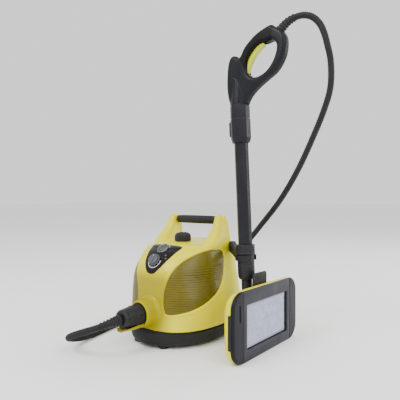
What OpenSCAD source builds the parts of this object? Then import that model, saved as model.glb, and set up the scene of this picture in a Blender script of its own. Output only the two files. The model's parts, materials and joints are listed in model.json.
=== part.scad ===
// Canister steam cleaner with a parked wand and mop head.
// Built in the machine's own coordinates: x = y = 0 on the boiler's plan centre, front towards -Y,
// then moved so that the origin is the bottom centre of everything but the hose.

/* [Canister] */
// Width across the widest part of the shell
body_w = 274; // [266:1:282]
// Height of the seam between the black base and the shell
seam_z = 45; // [42:1:48]
// Height of the crown of the shell
crown_z = 262; // [260:1:264]
// Wall thickness of the shell
wall = 3.6; // [3:0.1:4.5]
// Depth of the recesses that hold the panels
recess = 2.2; // [1.5:0.1:2.4]

/* [Carry handle] */
// Height of the grip's axis
grip_z = 322; // [318:1:326]
// Distance of the grip's axis behind the boiler's centre
grip_y = 54; // [50:1:58]
// Diameter of the grip
grip_d = 24.5; // [22:0.5:27]
// Gap between the two posts
grip_len = 143; // [138:1:146]

/* [Steam connection] */
// Height of the socket's axis
socket_z = 88; // [86:1:90]
// Diameter of the hose plug's collar
plug_d = 54; // [50:1:54.4]
// Outer diameter of the steam hose
hose_d = 17; // [15:0.5:18]

/* [Wand] */
// Lean of the parked wand
lean = 2.74; // [2.5:0.01:3]
// Width across the flats of the extension tube
tube_w = 35; // [32:0.5:37]
// Diameter of the neck socket
neck_d = 45; // [43:0.5:45.2]
// Half thickness of the loop handle
loop_half = 15; // [13:0.5:17]

/* [Mop head] */
// Half length of the head
head_half = 157; // [150:1:160]
// Half height of the head
head_rise = 83; // [80:0.5:83.5]
// Depth of the sole plate
plate_t = 8; // [6:0.5:9]

/* [Hidden] */
$fn = 64;
origin_x = 90;
origin_y = -30;
body_a = body_w / 2;

// Shell stations: height, half width, half depth, plan centre's y
shell_stations = [
    [seam_z, body_a - 7, 163, 7], [70, body_a - 3, 158, 10], [100, body_a, 154, 10],
    [130, body_a, 150, 8], [160, body_a - 5, 147, 6], [175, body_a - 9, 147, 6.5],
    [190, body_a - 13, 146, 8], [205, body_a - 17, 143, 12], [220, body_a - 21, 138, 17],
    [231, body_a - 23, 133, 23], [240, body_a - 25, 128, 28], [247, body_a - 29, 122, 33],
    [252, body_a - 33, 118, 36], [256, body_a - 40, 109, 39], [259, body_a - 50, 97, 42],
    [261, body_a - 64, 82, 45], [crown_z, body_a - 87, 56, 46]
];
// Base stations, with the plan's roundness as a fifth value
base_stations = [
    [6, body_a - 23, 153, 0, 2.1], [9, body_a - 15, 161, 0, 2.1], [16, body_a - 11, 165, 1, 2.15],
    [30, body_a - 9, 166, 3, 2.3], [seam_z, body_a - 7, 165, 6, 2.6]
];
// Post stations: height, inner x, outer x, front y, back y
post_stations = [
    [226, 58, 104, -2, 84], [244, 62, 111, -22, 88], [258, 65, 113, -22, 86],
    [264, 68, 112.5, -16, 84], [272, 70, 111.5, -6, 82], [282, 71.5, 109.5, 5, 81],
    [294, 73, 107, 17, 80], [306, 74, 104.5, 26, 79], [318, 74.5, 102, 31, 77],
    [328, 75, 99.5, 35, 74], [334, 76, 97, 39, 70], [338, 81, 92, 45, 64]
];
plan_round = 2.6;
shell_sides = 40;
// Direction in which the side panels are laid out, in plan
panel_turn = 39;
// Leaf outline of a side panel: distance along that direction, height
leaf = [
    [-48, 93], [-52, 124], [-45, 162], [-28, 197], [0, 222], [38, 239], [80, 248], [101, 244],
    [110, 229], [110, 200], [105, 165], [90, 136], [60, 113], [24, 98], [-20, 88], [-39, 87]
];
// Shield outline of the control panel: half width, distance up the slope
shield = [
    [0, -1], [13, 2], [23, 12], [33, 27], [43, 50], [51, 76], [54, 92], [49, 98], [30, 99.5], [0, 100]
];
slope_foot = [-140, 187];
slope_tilt = 48.9;
// Knob and gauge: y, z and elevation of the outward direction
knob_at = [-121, 218.5, 37];
gauge_at = [-90, 247, 52];
lamp_at = [[27, 232], [33, 225]];
neck_y = -9;
button_y = -193;
boiler_r = 78;
fit = 0.05;
gap = 0.35;

// Wand, in its own frame: z along the tube from the head's hinge
pivot = [203, 18, 83.5];
neck_z = 90;
ring_z = 154;
ring_h = 26;
tube_top = 470;
socket_low = 447;
handle_low = 548;
stem_r = 11;
neck_r = neck_d / 2;
pin_r = 4;
// Round inner edge of an end clip, on its hinge axis
clip_edge = 2.5;
clip_axis = 116.7;
fork_in = 13.4;
fork_out = 20;

// Handle outline and hole, in the wand's x and z
handle_outline = [
    [-23.5, 534], [-25, 550], [-30, 572], [-32.5, 602], [-30, 636], [-26, 660], [-19, 675], [-9, 681],
    [2, 677], [11, 671], [26, 692], [45, 708], [66, 720], [88, 727], [107, 730], [118, 722],
    [128, 715], [139, 705], [146, 689], [146, 669], [141, 648], [130, 628], [113, 610],
    [89, 597], [63, 583], [41, 567], [28, 550], [24, 534]
];
handle_hole = [
    [33, 634], [37, 621], [49, 611], [67, 610], [88, 618], [105, 634], [116, 654], [120, 673],
    [114, 686], [103, 690], [91, 688], [77, 690], [62, 684], [47, 671], [36, 655]
];
trigger_outline = [
    [25, 622], [33, 627], [40, 641], [51, 658], [66, 674], [84, 685], [80, 692], [66, 690],
    [48, 678], [34, 662], [25, 645], [20, 632], [20, 624]
];
trigger_pocket = [
    [13, 616], [33, 616], [42, 630], [60, 652], [90, 680], [92, 702], [70, 708], [48, 700],
    [32, 685], [20, 666], [14, 645]
];
trigger_axis = [26, 628];

// Route of the hose from the handle to the plug, in machine coordinates, with its two reliefs
hose_route = [
    [290, 19, 793], [299, 21.5, 805.5], [313, 25.5, 818.5], [331, 30.5, 827], [351, 36, 828.5],
    [370, 42, 821], [385, 48.5, 804], [393.5, 55, 782], [398, 62, 758], [402, 76, 714], [395, 91, 658],
    [374, 103, 607], [336, 120, 541], [283, 142, 460], [217, 165, 378], [135, 184, 294], [57, 196, 213],
    [-10, 202, 138], [-57, 203, 85], [-95, 202, 47], [-129, 195, 21], [-160, 177, 10.5], [-183, 146, 9],
    [-197, 102, 9], [-204, 35, 9], [-199, -35, 9], [-187, -100, 9], [-175, -150, 9], [-162, -198, 9.5],
    [-151, -240, 13], [-143, -269, 19.5], [-130, -294, 29], [-111, -311, 39], [-87, -319, 50],
    [-61, -318, 60.5], [-36, -308, 70], [-17, -290, 78], [-5, -266, 84.5], [0, -241, 88]
];
// Places along the route, counted in its points, where the reliefs end
handle_relief_end = 3;
plug_relief_start = 36;
hose_rings = 72;
relief_rings = 9;

function power(v, e) = sign(v) * pow(abs(v), e);
// How far an inset also lowers the surface near the crown
function sink(z) = max(0, (z - 200) / 62);
// Ring of a superellipse at one height
function plan_ring(z, a, b, yc, n, sides) = [
    for (i = [0 : sides - 1])
        let (t = 360 * i / sides)
        [a * power(cos(t), 2 / n), yc + b * power(sin(t), 2 / n), z]
];
function shell_rings(inset, low, lift = 0) = [
    for (s = shell_stations)
        plan_ring(max(low, s[0] - inset * sink(s[0])) + lift, s[1] - inset, s[2] - inset, s[3],
            plan_round, shell_sides)
];
function post_ring(s) = plan_ring(s[0], (s[2] - s[1]) / 2, (s[4] - s[3]) / 2, (s[3] + s[4]) / 2,
    3.2, 28);
// Front surface of the shell
function station(z, k) = lookup(z, [for (s = shell_stations) [s[0], s[k]]]);
function front_y(x, z) =
    station(z, 3) - station(z, 2) * pow(1 - pow(abs(x) / station(z, 1), plan_round), 1 / plan_round);

// Catmull-Rom curve
function blend4(a, b, c, d, t) =
    ((2 * b) + (c - a) * t + (2 * a - 5 * b + 4 * c - d) * t * t
    + (3 * b - a - 3 * c + d) * t * t * t) / 2;
function closed_curve(p, steps) = let (n = len(p)) [
    for (i = [0 : n - 1], k = [0 : steps - 1])
        blend4(p[(i + n - 1) % n], p[i], p[(i + 1) % n], p[(i + 2) % n], k / steps)
];
function at_route(p, u) =
    let (n = len(p) - 1, i = max(0, min(floor(u), n - 1)), t = u - i)
    blend4(i == 0 ? 2 * p[0] - p[1] : p[i - 1], p[i], p[i + 1],
        i + 2 > n ? 2 * p[n] - p[n - 1] : p[i + 2], t);
function unit(v) = v / norm(v);
function route_heading(u) = unit(at_route(hose_route, u + 0.01) - at_route(hose_route, u - 0.01));
// Side vectors carried along the route without twist
function carried(us, i = 0, side = [0, 1, 0]) =
    let (d = route_heading(us[i]), v = unit(side - (side * d) * d))
    concat([[v, cross(d, v)]], i == len(us) - 1 ? [] : carried(us, i + 1, v));

module placed() {
    translate([-origin_x, -origin_y, 0]) children();
}

module in_wand() {
    placed() translate(pivot) rotate([0, -lean, 0]) children();
}

// Child drawn with z pointing outwards from the front slope
module on_slope(at) {
    translate([0, at[0], at[1]]) rotate([90 - at[2], 0, 0]) children();
}

// Child drawn with z pointing towards the front
module along_front(y, z) {
    translate([0, y, z]) rotate([90, 0, 0]) children();
}

// Solid through a stack of rings with equal point counts
module loft(rings) {
    n = len(rings[0]);
    last = len(rings) - 1;
    polyhedron(
        points = [for (r = rings) each r],
        faces = concat(
            [[for (i = [0 : n - 1]) i]],
            [for (k = [0 : last - 1], i = [0 : n - 1])
                let (j = (i + 1) % n) each
                [[k * n + i, k * n + n + i, k * n + n + j], [k * n + i, k * n + n + j, k * n + j]]],
            [[for (i = [n - 1 : -1 : 0]) last * n + i]]
        )
    );
}

// Tube along part of the hose's route, with its radius going from r0 to r1
module along_route(u0, u1, count, r0, r1, sides = 10) {
    us = [for (k = [0 : count - 1]) u0 + (u1 - u0) * k / (count - 1)];
    sides_at = carried(us);
    loft([
        for (i = [0 : count - 1])
            let (r = r0 + (r1 - r0) * i / (count - 1), c = at_route(hose_route, us[i]))
            [for (k = [0 : sides - 1])
                c + r * (cos(360 * k / sides) * sides_at[i][0] + sin(360 * k / sides) * sides_at[i][1])]
    ]);
}

module ring(r_out, r_in, h) {
    difference() {
        cylinder(h = h, r = r_out);
        translate([0, 0, -1]) cylinder(h = h + 2, r = r_in);
    }
}

// Plate in the y-z plane with round corners, growing towards +X
module plate(half_y, half_z, r, t) {
    for (s = [-1, 1]) {
        for (u = [-1, 1])
            translate([0, s * (half_y - r), u * (half_z - r)]) rotate([0, 90, 0]) cylinder(h = t, r = r);
    }
    translate([0, -half_y + r, -half_z]) cube([t, 2 * (half_y - r), 2 * half_z]);
    translate([0, -half_y, -half_z + r]) cube([t, 2 * half_y, 2 * (half_z - r)]);
}

module leaf_prism() {
    rotate([90, 0, panel_turn]) translate([0, 0, 15]) linear_extrude(235) polygon(closed_curve(leaf, 2));
}

module shield_prism() {
    half = [for (p = shield) p];
    mirrored = [for (i = [len(shield) - 2 : -1 : 1]) [-shield[i][0], shield[i][1]]];
    translate([0, slope_foot[0], slope_foot[1]]) rotate([slope_tilt, 0, 0]) translate([0, 0, -18])
        linear_extrude(70) polygon(concat(half, mirrored));
}

// Thin layer that follows the shell's surface
module skin_layer() {
    difference() {
        loft(shell_rings(-0.8, seam_z));
        loft(shell_rings(recess, seam_z - 1));
    }
}

module base_tray() {
    placed() color([0.1, 0.1, 0.11]) difference() {
        loft([for (s = base_stations) plan_ring(s[0], s[1], s[2], s[3], s[4], shell_sides)]);
        loft([for (s = base_stations)
            plan_ring(max(10, s[0]) + (s[0] == seam_z ? 1 : s[0] / 20), s[1] - 6, s[2] - 6, s[3], s[4],
                shell_sides)]);
        for (p = foot_places) translate([p[0], p[1], -1]) cylinder(h = 9, r = 12.2);
        for (p = screw_places) translate([p[0], p[1], 0]) cylinder(h = 20, r = 2.2);
        for (p = screw_places) translate([p[0], p[1], 0]) cylinder(h = 8.4, r = 4.4);
    }
}

foot_places = [[-46, -137], [46, -137], [-84, 98], [84, 98]];
screw_places = [[-88, -60], [88, -60], [-96, 36], [96, 36], [-30, 130], [30, 130]];

module rubber_feet() {
    placed() color([0.06, 0.06, 0.06]) for (p = foot_places) translate([p[0], p[1], 0]) {
        cylinder(h = 2, r1 = 10, r2 = 11.5);
        translate([0, 0, 2]) cylinder(h = 6, r = 11.5);
    }
}

module base_screws() {
    placed() color("silver") for (p = screw_places) translate([p[0], p[1], 0]) {
        translate([0, 0, 6.6]) cylinder(h = 1.7, r = 4);
        translate([0, 0, 8.3]) cylinder(h = 9, r = 2);
    }
}

module upper_shell() {
    placed() color([0.88, 0.82, 0.13]) difference() {
        union() {
            difference() {
                union() {
                    loft(shell_rings(0, seam_z));
                    for (m = [0, 1]) mirror([m, 0, 0])
                        loft([for (s = post_stations)
                            [for (p = post_ring(s)) [p[0] + (s[1] + s[2]) / 2, p[1], p[2]]]]);
                }
                leaf_prism();
                mirror([1, 0, 0]) leaf_prism();
                shield_prism();
            }
            loft(shell_rings(recess + 0.1, seam_z));
        }
        loft(shell_rings(wall, seam_z - 1));
        translate([0, neck_y, 240]) cylinder(h = 40, r = 19);
        along_front(-100, socket_z) cylinder(h = 80, r = 41);
        translate([-48.3, 140, 59.7]) cube([96.6, 50, 50.6]);
        translate([-grip_len / 2 - 8.2, grip_y, grip_z]) rotate([0, 90, 0])
            cylinder(h = grip_len + 16.4, r = 8.2);
        on_slope(knob_at) translate([0, 0, -12]) cylinder(h = 30, r = 5);
        on_slope(gauge_at) translate([0, 0, -14]) cylinder(h = 30, r = 17.4);
    }
}

module side_panel() {
    placed() color([0.5, 0.46, 0.12]) intersection() {
        skin_layer();
        leaf_prism();
    }
}

module side_panel_right() {
    side_panel();
}

module side_panel_left() {
    translate([-2 * origin_x, 0, 0]) mirror([1, 0, 0]) side_panel();
}

module control_panel() {
    placed() color([0.03, 0.03, 0.03]) difference() {
        intersection() {
            skin_layer();
            shield_prism();
        }
        on_slope(knob_at) translate([0, 0, -12]) cylinder(h = 30, r = 3 + fit);
        on_slope(gauge_at) translate([0, 0, -14]) cylinder(h = 30, r = 17.4);
        for (p = lamp_at) translate([p[0], front_y(p[0], p[1]), p[1]]) rotate([48, 0, 0])
            translate([0, 0, -8]) cylinder(h = 20, r = 2.6);
    }
}

module steam_knob() {
    placed() color([0.16, 0.16, 0.18]) on_slope(knob_at) {
        translate([0, 0, -9]) cylinder(h = 12, r = 3);
        translate([0, 0, 2.4]) cylinder(h = 7.6, r1 = 16, r2 = 15);
        translate([0, 0, 10]) cylinder(h = 1.6, r1 = 15, r2 = 13);
        translate([-2.2, -12.5, 11]) cube([4.4, 25, 2.6]);
    }
}

module pressure_gauge() {
    placed() color([0.3, 0.3, 0.32]) on_slope(gauge_at) {
        difference() {
            translate([0, 0, -9]) cylinder(h = 13, r = 17);
            translate([0, 0, -3]) cylinder(h = 8, r = 14.2);
            translate([0, 0, 1.8]) cylinder(h = 3, r = 15);
        }
        translate([0, 0, -14]) cylinder(h = 5.5, r = 5);
        translate([0, 0, -3.5]) cylinder(h = 2, r = 1.4);
    }
}

module gauge_needle() {
    placed() color("red") on_slope(gauge_at) difference() {
        union() {
            translate([0, 0, -2.4]) cylinder(h = 1.4, r = 2.6);
            rotate([0, 0, 130]) translate([-0.7, 0, -2.2]) cube([1.4, 11.5, 0.8]);
        }
        translate([0, 0, -4]) cylinder(h = 6, r = 1.4 + fit);
    }
}

module gauge_lens() {
    placed() color([0.8, 0.85, 0.9, 0.4]) on_slope(gauge_at) translate([0, 0, 1.85]) cylinder(h = 1.6, r = 14.9);
}

module pilot_lamps() {
    placed() color("orange") for (p = lamp_at)
        translate([p[0], front_y(p[0], p[1]), p[1]]) rotate([48, 0, 0]) translate([0, 0, -1.4])
            cylinder(h = 3.4, r = 2.4);
}

module carry_grip() {
    placed() color([0.12, 0.12, 0.13]) translate([0, grip_y, grip_z]) rotate([0, 90, 0])
        translate([0, 0, -grip_len / 2]) {
            rotate_extrude() polygon([
                [0, 0.4], [grip_d / 2 - 1.2, 0.4], [grip_d / 2 - 0.8, 12], [grip_d / 2, 40],
                [grip_d / 2, grip_len - 40], [grip_d / 2 - 0.8, grip_len - 12],
                [grip_d / 2 - 1.2, grip_len - 0.4], [0, grip_len - 0.4]
            ]);
            translate([0, 0, -8]) cylinder(h = grip_len + 16, r = 8);
        }
}

module boiler() {
    placed() color("silver") translate([0, neck_y, 0]) rotate_extrude() polygon([
        [0, 66], [40, 66], [62, 70], [74, 78], [boiler_r, 88], [boiler_r, 182], [74, 194], [60, 203],
        [40, 209], [17, 211], [17, 258], [9, 258], [9, 209], [38, 207], [58, 201], [72, 192],
        [boiler_r - 2, 181], [boiler_r - 2, 89], [72, 80], [61, 72], [40, 68], [0, 68]
    ]);
}

module heating_element() {
    placed() color("dimgray") translate([0, neck_y, 0]) {
        translate([0, 0, 56]) ring(52, 38, 9.8);
        for (s = [-1, 1]) translate([s * 45, 0, 46]) cylinder(h = 11, r = 3);
    }
}

module thermostat() {
    placed() color([0.85, 0.82, 0.75]) translate([0, neck_y, 0]) {
        translate([0, 0, 54]) cylinder(h = 11.8, r = 12);
        translate([-8, -1.5, 46]) cube([16, 3, 8.5]);
    }
}

module solenoid_valve() {
    placed() color("goldenrod") {
        translate([-14, -116, 128]) cube([28, 24, 30]);
        translate([0, -104, 158]) cylinder(h = 26, r = 12);
        translate([0, -93, 143]) rotate([-90, 0, 0]) cylinder(h = 5.6, r = 6);
    }
}

module steam_pipe() {
    placed() color([0.75, 0.45, 0.25]) {
        translate([0, -104, socket_z]) cylinder(h = 39.8, r = 4);
        along_front(-104, socket_z) cylinder(h = 34, r = 4);
        translate([0, -104, socket_z]) sphere(r = 4);
    }
}

module safety_valve() {
    placed() color("gold") translate([48, neck_y, 0]) {
        translate([0, 0, 209.2]) cylinder(h = 8, r = 8, $fn = 6);
        translate([0, 0, 217.2]) cylinder(h = 14, r = 5);
    }
}

module circuit_board() {
    placed() color("darkgreen") {
        translate([-45, 100, 130]) cube([90, 2, 60]);
        translate([-30, 102, 140]) cube([24, 14, 20]);
        translate([8, 102, 138]) cube([26, 10, 16]);
    }
}

module boiler_cap() {
    placed() color([0.09, 0.09, 0.1]) translate([0, neck_y, 0]) difference() {
        rotate_extrude() polygon([
            [0, 263], [22, 263], [23.5, 265], [23.5, 277], [21, 282], [15, 286], [6, 287.6], [0, 288]
        ]);
        for (k = [0 : 11]) rotate([0, 0, 30 * k]) translate([25.2, 0, 266.5]) cylinder(h = 30, r = 3);
        translate([0, 0, 260]) cylinder(h = 12.2, r = 6 + fit);
    }
}

module cap_plug() {
    placed() color("gold") translate([0, neck_y, 0]) {
        translate([0, 0, 236]) cylinder(h = 22, r = 9 - fit);
        translate([0, 0, 260.2]) cylinder(h = 2.5, r = 13);
        translate([0, 0, 258]) cylinder(h = 14, r = 6);
    }
}

module cap_seal() {
    placed() color([0.5, 0.1, 0.08]) translate([0, neck_y, 258.1]) ring(13, 6.1, 2.05);
}

module socket_nose() {
    placed() color([0.88, 0.82, 0.13]) {
        along_front(-118, socket_z) rotate_extrude() polygon([
            [27.6, 0], [40.6, 0], [40.6, 24], [37.4, 31], [35.6, 40], [34.8, 57], [33.6, 61],
            [31.4, 63], [27.6, 63]
        ]);
        along_front(-150, socket_z) intersection() {
            rotate_extrude() polygon([[28.4, 0], [34, 0], [33.4, 60], [31.5, 84], [30, 94], [27.6, 94]]);
            translate([-24, -40, -1]) cube([48, 24, 100]);
        }
    }
}

module steam_socket() {
    placed() color([0.12, 0.12, 0.13]) along_front(-112, socket_z) difference() {
        cylinder(h = 54, r = 27.4);
        translate([0, 0, 8]) cylinder(h = 47, r = 20.5);
        translate([0, 0, -1]) cylinder(h = 10, r = 4.1);
    }
}

module hose_plug() {
    placed() color([0.2, 0.2, 0.22]) difference() {
        along_front(-122, socket_z) rotate_extrude() polygon([
            [0, 0], [20, 0], [20, 46], [27, 46], [plug_d / 2, 49], [plug_d / 2, 82], [26, 84],
            [25.6, 88], [23.4, 112], [21.5, 116], [17, 118], [0, 118]
        ]);
        along_front(-121, socket_z) cylinder(h = 20, r = 4.3);
        translate([-4, -198, socket_z + 23]) cube([8, 9, 8]);
        translate([15, button_y, socket_z]) rotate([0, 90, 0]) button_bar(6.35, 4, 20);
    }
}

// Bar with round ends, standing on the x-y plane
module button_bar(r, half, h) {
    for (s = [-1, 1]) translate([s * half, 0, 0]) cylinder(h = h, r = r);
    translate([-half, -r, 0]) cube([2 * half, 2 * r, h]);
}

module plug_button() {
    placed() color([0.12, 0.12, 0.13]) translate([19, button_y, socket_z]) rotate([0, 90, 0])
        button_bar(6, 4, 9.4);
}

module plug_relief() {
    placed() color([0.1, 0.1, 0.1])
        along_route(plug_relief_start, len(hose_route) - 1, relief_rings, hose_d / 2 + 1, 14, 16);
}

module steam_hose() {
    placed() color([0.14, 0.14, 0.15])
        along_route(handle_relief_end + 0.02, plug_relief_start, hose_rings, hose_d / 2, hose_d / 2);
}

module handle_relief() {
    placed() color([0.1, 0.1, 0.1])
        along_route(0, handle_relief_end, relief_rings, 13, hose_d / 2 + 1, 16);
}

module rear_plate() {
    placed() color([0.1, 0.1, 0.11]) difference() {
        translate([-48, 150, 60]) cube([96, 18, 50]);
        translate([-36.4, 160, 85]) rotate([0, 90, 0]) cylinder(h = 20.8, r = 11.35);
        translate([26, 140, 84]) rotate([-90, 0, 0]) cylinder(h = 40, r = 7.3);
    }
}

module power_switch() {
    placed() color("firebrick") translate([-36, 160, 85]) rotate([0, 90, 0]) difference() {
        cylinder(h = 20, r = 11);
        for (s = [-1, 1]) rotate([0, 0, 90 + 12 * s]) translate([8.9, -20, -1]) cube([10, 40, 22]);
    }
}

module cord_gland() {
    placed() color([0.1, 0.1, 0.1]) translate([26, 152, 84]) rotate([-90, 0, 0]) difference() {
        union() {
            cylinder(h = 18, r = 7.2);
            translate([0, 0, 16]) cylinder(h = 4, r = 10);
            translate([0, 0, 20]) cylinder(h = 12, r1 = 8.5, r2 = 6.5);
        }
        translate([0, 0, 12]) cylinder(h = 21, r = 4.2);
    }
}

module parking_bracket() {
    placed() color([0.1, 0.1, 0.11]) hull() {
        translate([108, 66, 236]) cube([10, 18, 26]);
        translate([162, 24, 221]) cube([9, 14, 14]);
    }
    in_wand() color([0.1, 0.1, 0.11]) translate([0, 0, 139]) difference() {
        ring(neck_r + 5, neck_r + gap, 14);
        translate([10, -15, -1]) cube([40, 30, 17]);
    }
}

module wand_tube() {
    in_wand() color([0.2, 0.2, 0.22]) translate([0, 0, 132]) rotate([0, 0, 22.5]) difference() {
        cylinder(h = tube_top - 132, r = tube_w / 2 / cos(22.5), $fn = 8);
        translate([0, 0, -1]) cylinder(h = tube_top, r = tube_w / 2 - 3);
    }
}

module lock_ring() {
    in_wand() color([0.13, 0.13, 0.14]) translate([0, 0, ring_z]) difference() {
        rotate_extrude() polygon([
            [19.2, 0], [24, 0], [25, 1.5], [25, 22], [24, ring_h], [19.2, ring_h]
        ]);
    }
}

module neck_socket() {
    in_wand() color([0.15, 0.15, 0.16]) rotate_extrude() polygon([
        [stem_r + fit, neck_z + 0.3], [19, neck_z + 0.3], [neck_r - 1, neck_z + 5], [neck_r, neck_z + 12],
        [neck_r, ring_z - 0.1], [19.1, ring_z - 0.1], [19.1, 132 - 0.1], [stem_r + fit, 132 - 0.1]
    ]);
}

module upper_socket() {
    in_wand() color([0.17, 0.17, 0.19]) difference() {
        rotate_extrude() polygon([
            [19.1, socket_low], [22, socket_low], [25.5, socket_low + 8], [26.5, socket_low + 12],
            [26.5, 512], [25.6, 516], [25.6, handle_low - 0.2], [15, handle_low - 0.2],
            [15, tube_top + 0.2], [19.1, tube_top + 0.2]
        ]);
        translate([-40, -7.3, 466]) cube([20.6, 14.6, 42]);
    }
}

module tube_lock_button() {
    in_wand() color([0.12, 0.12, 0.13]) {
        translate([-31, -7, 466.3]) cube([8, 14, 41.4]);
        translate([-34, -6, 470]) cube([3, 12, 34]);
    }
}

// One half of the loop handle, on the +Y side of the wand
module handle_half() {
    difference() {
        union() {
            rotate([90, 0, 0]) mirror([0, 0, 1]) linear_extrude(loop_half - 3)
                polygon(closed_curve(handle_outline, 2));
            intersection() {
                rotate([90, 0, 0]) mirror([0, 0, 1]) linear_extrude(loop_half)
                    polygon([for (p = closed_curve(handle_outline, 2))
                        [57 + (p[0] - 57) * 0.95, 640 + (p[1] - 640) * 0.96]]);
                translate([-60, 0, handle_low]) cube([220, 40, 200]);
            }
            translate([-2, 0, handle_low]) intersection() {
                cylinder(h = 62, r1 = 26, r2 = 19);
                translate([-30, 0, 0]) cube([60, 30, 62]);
            }
        }
        rotate([90, 0, 0]) mirror([0, 0, 1]) translate([0, 0, -1]) linear_extrude(40)
            polygon(closed_curve(handle_hole, 2));
        rotate([90, 0, 0]) mirror([0, 0, 1]) translate([0, 0, -1]) linear_extrude(7.6)
            polygon(trigger_pocket);
        translate([trigger_axis[0], -1, trigger_axis[1]]) rotate([-90, 0, 0]) cylinder(h = 12, r = 2.5);
        translate([-14, -1, 618]) cube([22, 6.2, 12.6]);
        translate([-60, -1, handle_low - 20]) cube([120, 40, 20]);
        for (p = screw_spots) translate([p[0], -1, p[1]]) rotate([-90, 0, 0]) cylinder(h = 12, r = 1.6);
    }
}

screw_spots = [[-8, 590], [134, 650], [96, 709], [-16, 655]];

module handle_shell_left() {
    in_wand() color([0.2, 0.2, 0.22]) mirror([0, 1, 0]) handle_half();
}

module handle_shell_right() {
    in_wand() color([0.2, 0.2, 0.22]) handle_half();
}

module handle_screws() {
    in_wand() color("silver") for (p = screw_spots)
        translate([p[0], -9, p[1]]) rotate([-90, 0, 0]) cylinder(h = 18, r = 1.55);
}

module trigger() {
    in_wand() color([0.72, 0.76, 0.2]) difference() {
        translate([0, 6, 0]) rotate([90, 0, 0]) linear_extrude(12) polygon(closed_curve(trigger_outline, 2));
        translate([trigger_axis[0], -10, trigger_axis[1]]) rotate([-90, 0, 0]) cylinder(h = 20, r = 2.45 + fit);
        translate([12, -2.4, 617]) cube([24, 4.8, 16]);
    }
}

module trigger_pin() {
    in_wand() color("silver") translate([trigger_axis[0], -10.8, trigger_axis[1]]) rotate([-90, 0, 0])
        cylinder(h = 21.6, r = 2.45);
}

module trigger_spring() {
    in_wand() color("silver") translate([trigger_axis[0], -2, trigger_axis[1]]) rotate([-90, 0, 0])
        for (k = [0 : 2]) translate([0, 0, 0.2 + 1.25 * k]) rotate_extrude() translate([3.4, 0.55])
            circle(r = 0.55, $fn = 16);
}

module micro_switch() {
    in_wand() color([0.1, 0.1, 0.1]) translate([-13.8, -5, 618.2]) cube([21.6, 10, 12.2]);
}

module swivel_yoke() {
    in_wand() color([0.14, 0.14, 0.15]) {
        translate([0, 0, 36]) cylinder(h = neck_z - 36, r = 14);
        translate([0, 0, neck_z]) cylinder(h = 38, r = stem_r);
        translate([-12, -fork_out, 22]) cube([24, 2 * fork_out, 14]);
        for (s = [-1, 1]) difference() {
            union() {
                translate([-12, s > 0 ? fork_in : -fork_out, 0]) cube([24, fork_out - fork_in, 22]);
                translate([0, s > 0 ? fork_in : -fork_out, 0]) rotate([-90, 0, 0])
                    cylinder(h = fork_out - fork_in, r = 12);
            }
            translate([0, -30, 0]) rotate([-90, 0, 0]) cylinder(h = 60, r = pin_r);
        }
    }
}

module hinge_pin() {
    placed() color("silver") translate([pivot[0], pivot[1] - fork_out - 1, pivot[2]]) rotate([-90, 0, 0])
        cylinder(h = 2 * fork_out + 2, r = pin_r - 0.01);
}

// Sections of the head's back shell: x, half length, half height, roundness
head_stations = [
    [226, head_half - 26, head_rise - 20, 4.5], [231, head_half - 12, head_rise - 9, 5],
    [238, head_half - 4, head_rise - 4, 6], [246, head_half, head_rise, 7], [256, head_half, head_rise, 7]
];

module head_shell() {
    placed() color([0.88, 0.82, 0.13]) translate([0, pivot[1], pivot[2]]) difference() {
        union() {
            loft([for (s = head_stations)
                [for (p = plan_ring(0, s[1], s[2], 0, s[3], 44)) [s[0], p[0], p[1]]]]);
            translate([pivot[0], -13, 0]) rotate([-90, 0, 0]) cylinder(h = 26, r = 15);
            translate([pivot[0], -13, -15]) cube([26, 26, 30]);
        }
        translate([247, 0, 0]) plate(head_half - 8, head_rise - 8, 31, 20);
        translate([230.5, -head_half + 29, -head_rise + 27]) cube([20, 2 * head_half - 58, 2 * head_rise - 54]);
        translate([pivot[0], -30, 0]) rotate([-90, 0, 0]) cylinder(h = 60, r = pin_r + fit);
        translate([232, -35, 56]) cube([12, 70, 40]);
        translate([238, -40, 66]) rotate([-90, 0, 0]) cylinder(h = 80, r = 2.2);
    }
}

module head_plate() {
    placed() color([0.25, 0.25, 0.27]) translate([256.1, pivot[1], pivot[2]]) difference() {
        translate([0, -113.5, -head_rise]) cube([plate_t - 0.1, 227, 2 * head_rise]);
        translate([-1, -99, -57]) cube([plate_t + 2, 198, 107]);
    }
}

module steam_plate() {
    placed() color([0.3, 0.3, 0.32]) translate([0, pivot[1], pivot[2]]) difference() {
        translate([248, -108, -66]) cube([2, 216, 126]);
        for (j = [-3 : 3], k = [-1 : 1]) translate([247, 28 * j, 34 * k - 3]) rotate([0, 90, 0])
            cylinder(h = 4, r = 3);
    }
}

module cloth_pad() {
    placed() color([0.74, 0.76, 0.84]) translate([250.2, pivot[1] - 98.6, pivot[2] - 56.6])
        cube([9.2, 197.2, 106.2]);
}

module end_clip() {
    difference() {
        union() {
            translate([256.1, 0, 0]) intersection() {
                plate(head_half, head_rise, 40, plate_t - 0.1);
                translate([-1, clip_axis, -100]) cube([20, 60, 200]);
            }
            translate([264 - clip_edge, clip_axis, -head_rise]) cylinder(h = 2 * head_rise, r = clip_edge);
            intersection() {
                translate([256.1, clip_axis - clip_edge, -head_rise])
                    cube([plate_t - 0.1 - clip_edge, clip_edge + 1, 2 * head_rise]);
                translate([264 - clip_edge, clip_axis, -head_rise])
                    cylinder(h = 2 * head_rise, r = plate_t - 0.1 - clip_edge);
            }
        }
        translate([260, clip_axis + 8, 18]) cube([10, 5, 40]);
    }
    translate([250, head_half + 0.5, -44]) cube([9, 3, 80]);
    translate([256.1, head_half - 6, -44]) cube([2.9, 8, 80]);
}

module end_clip_left() {
    placed() color([0.24, 0.24, 0.26]) translate([0, pivot[1], pivot[2]]) mirror([0, 1, 0]) end_clip();
}

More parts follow.
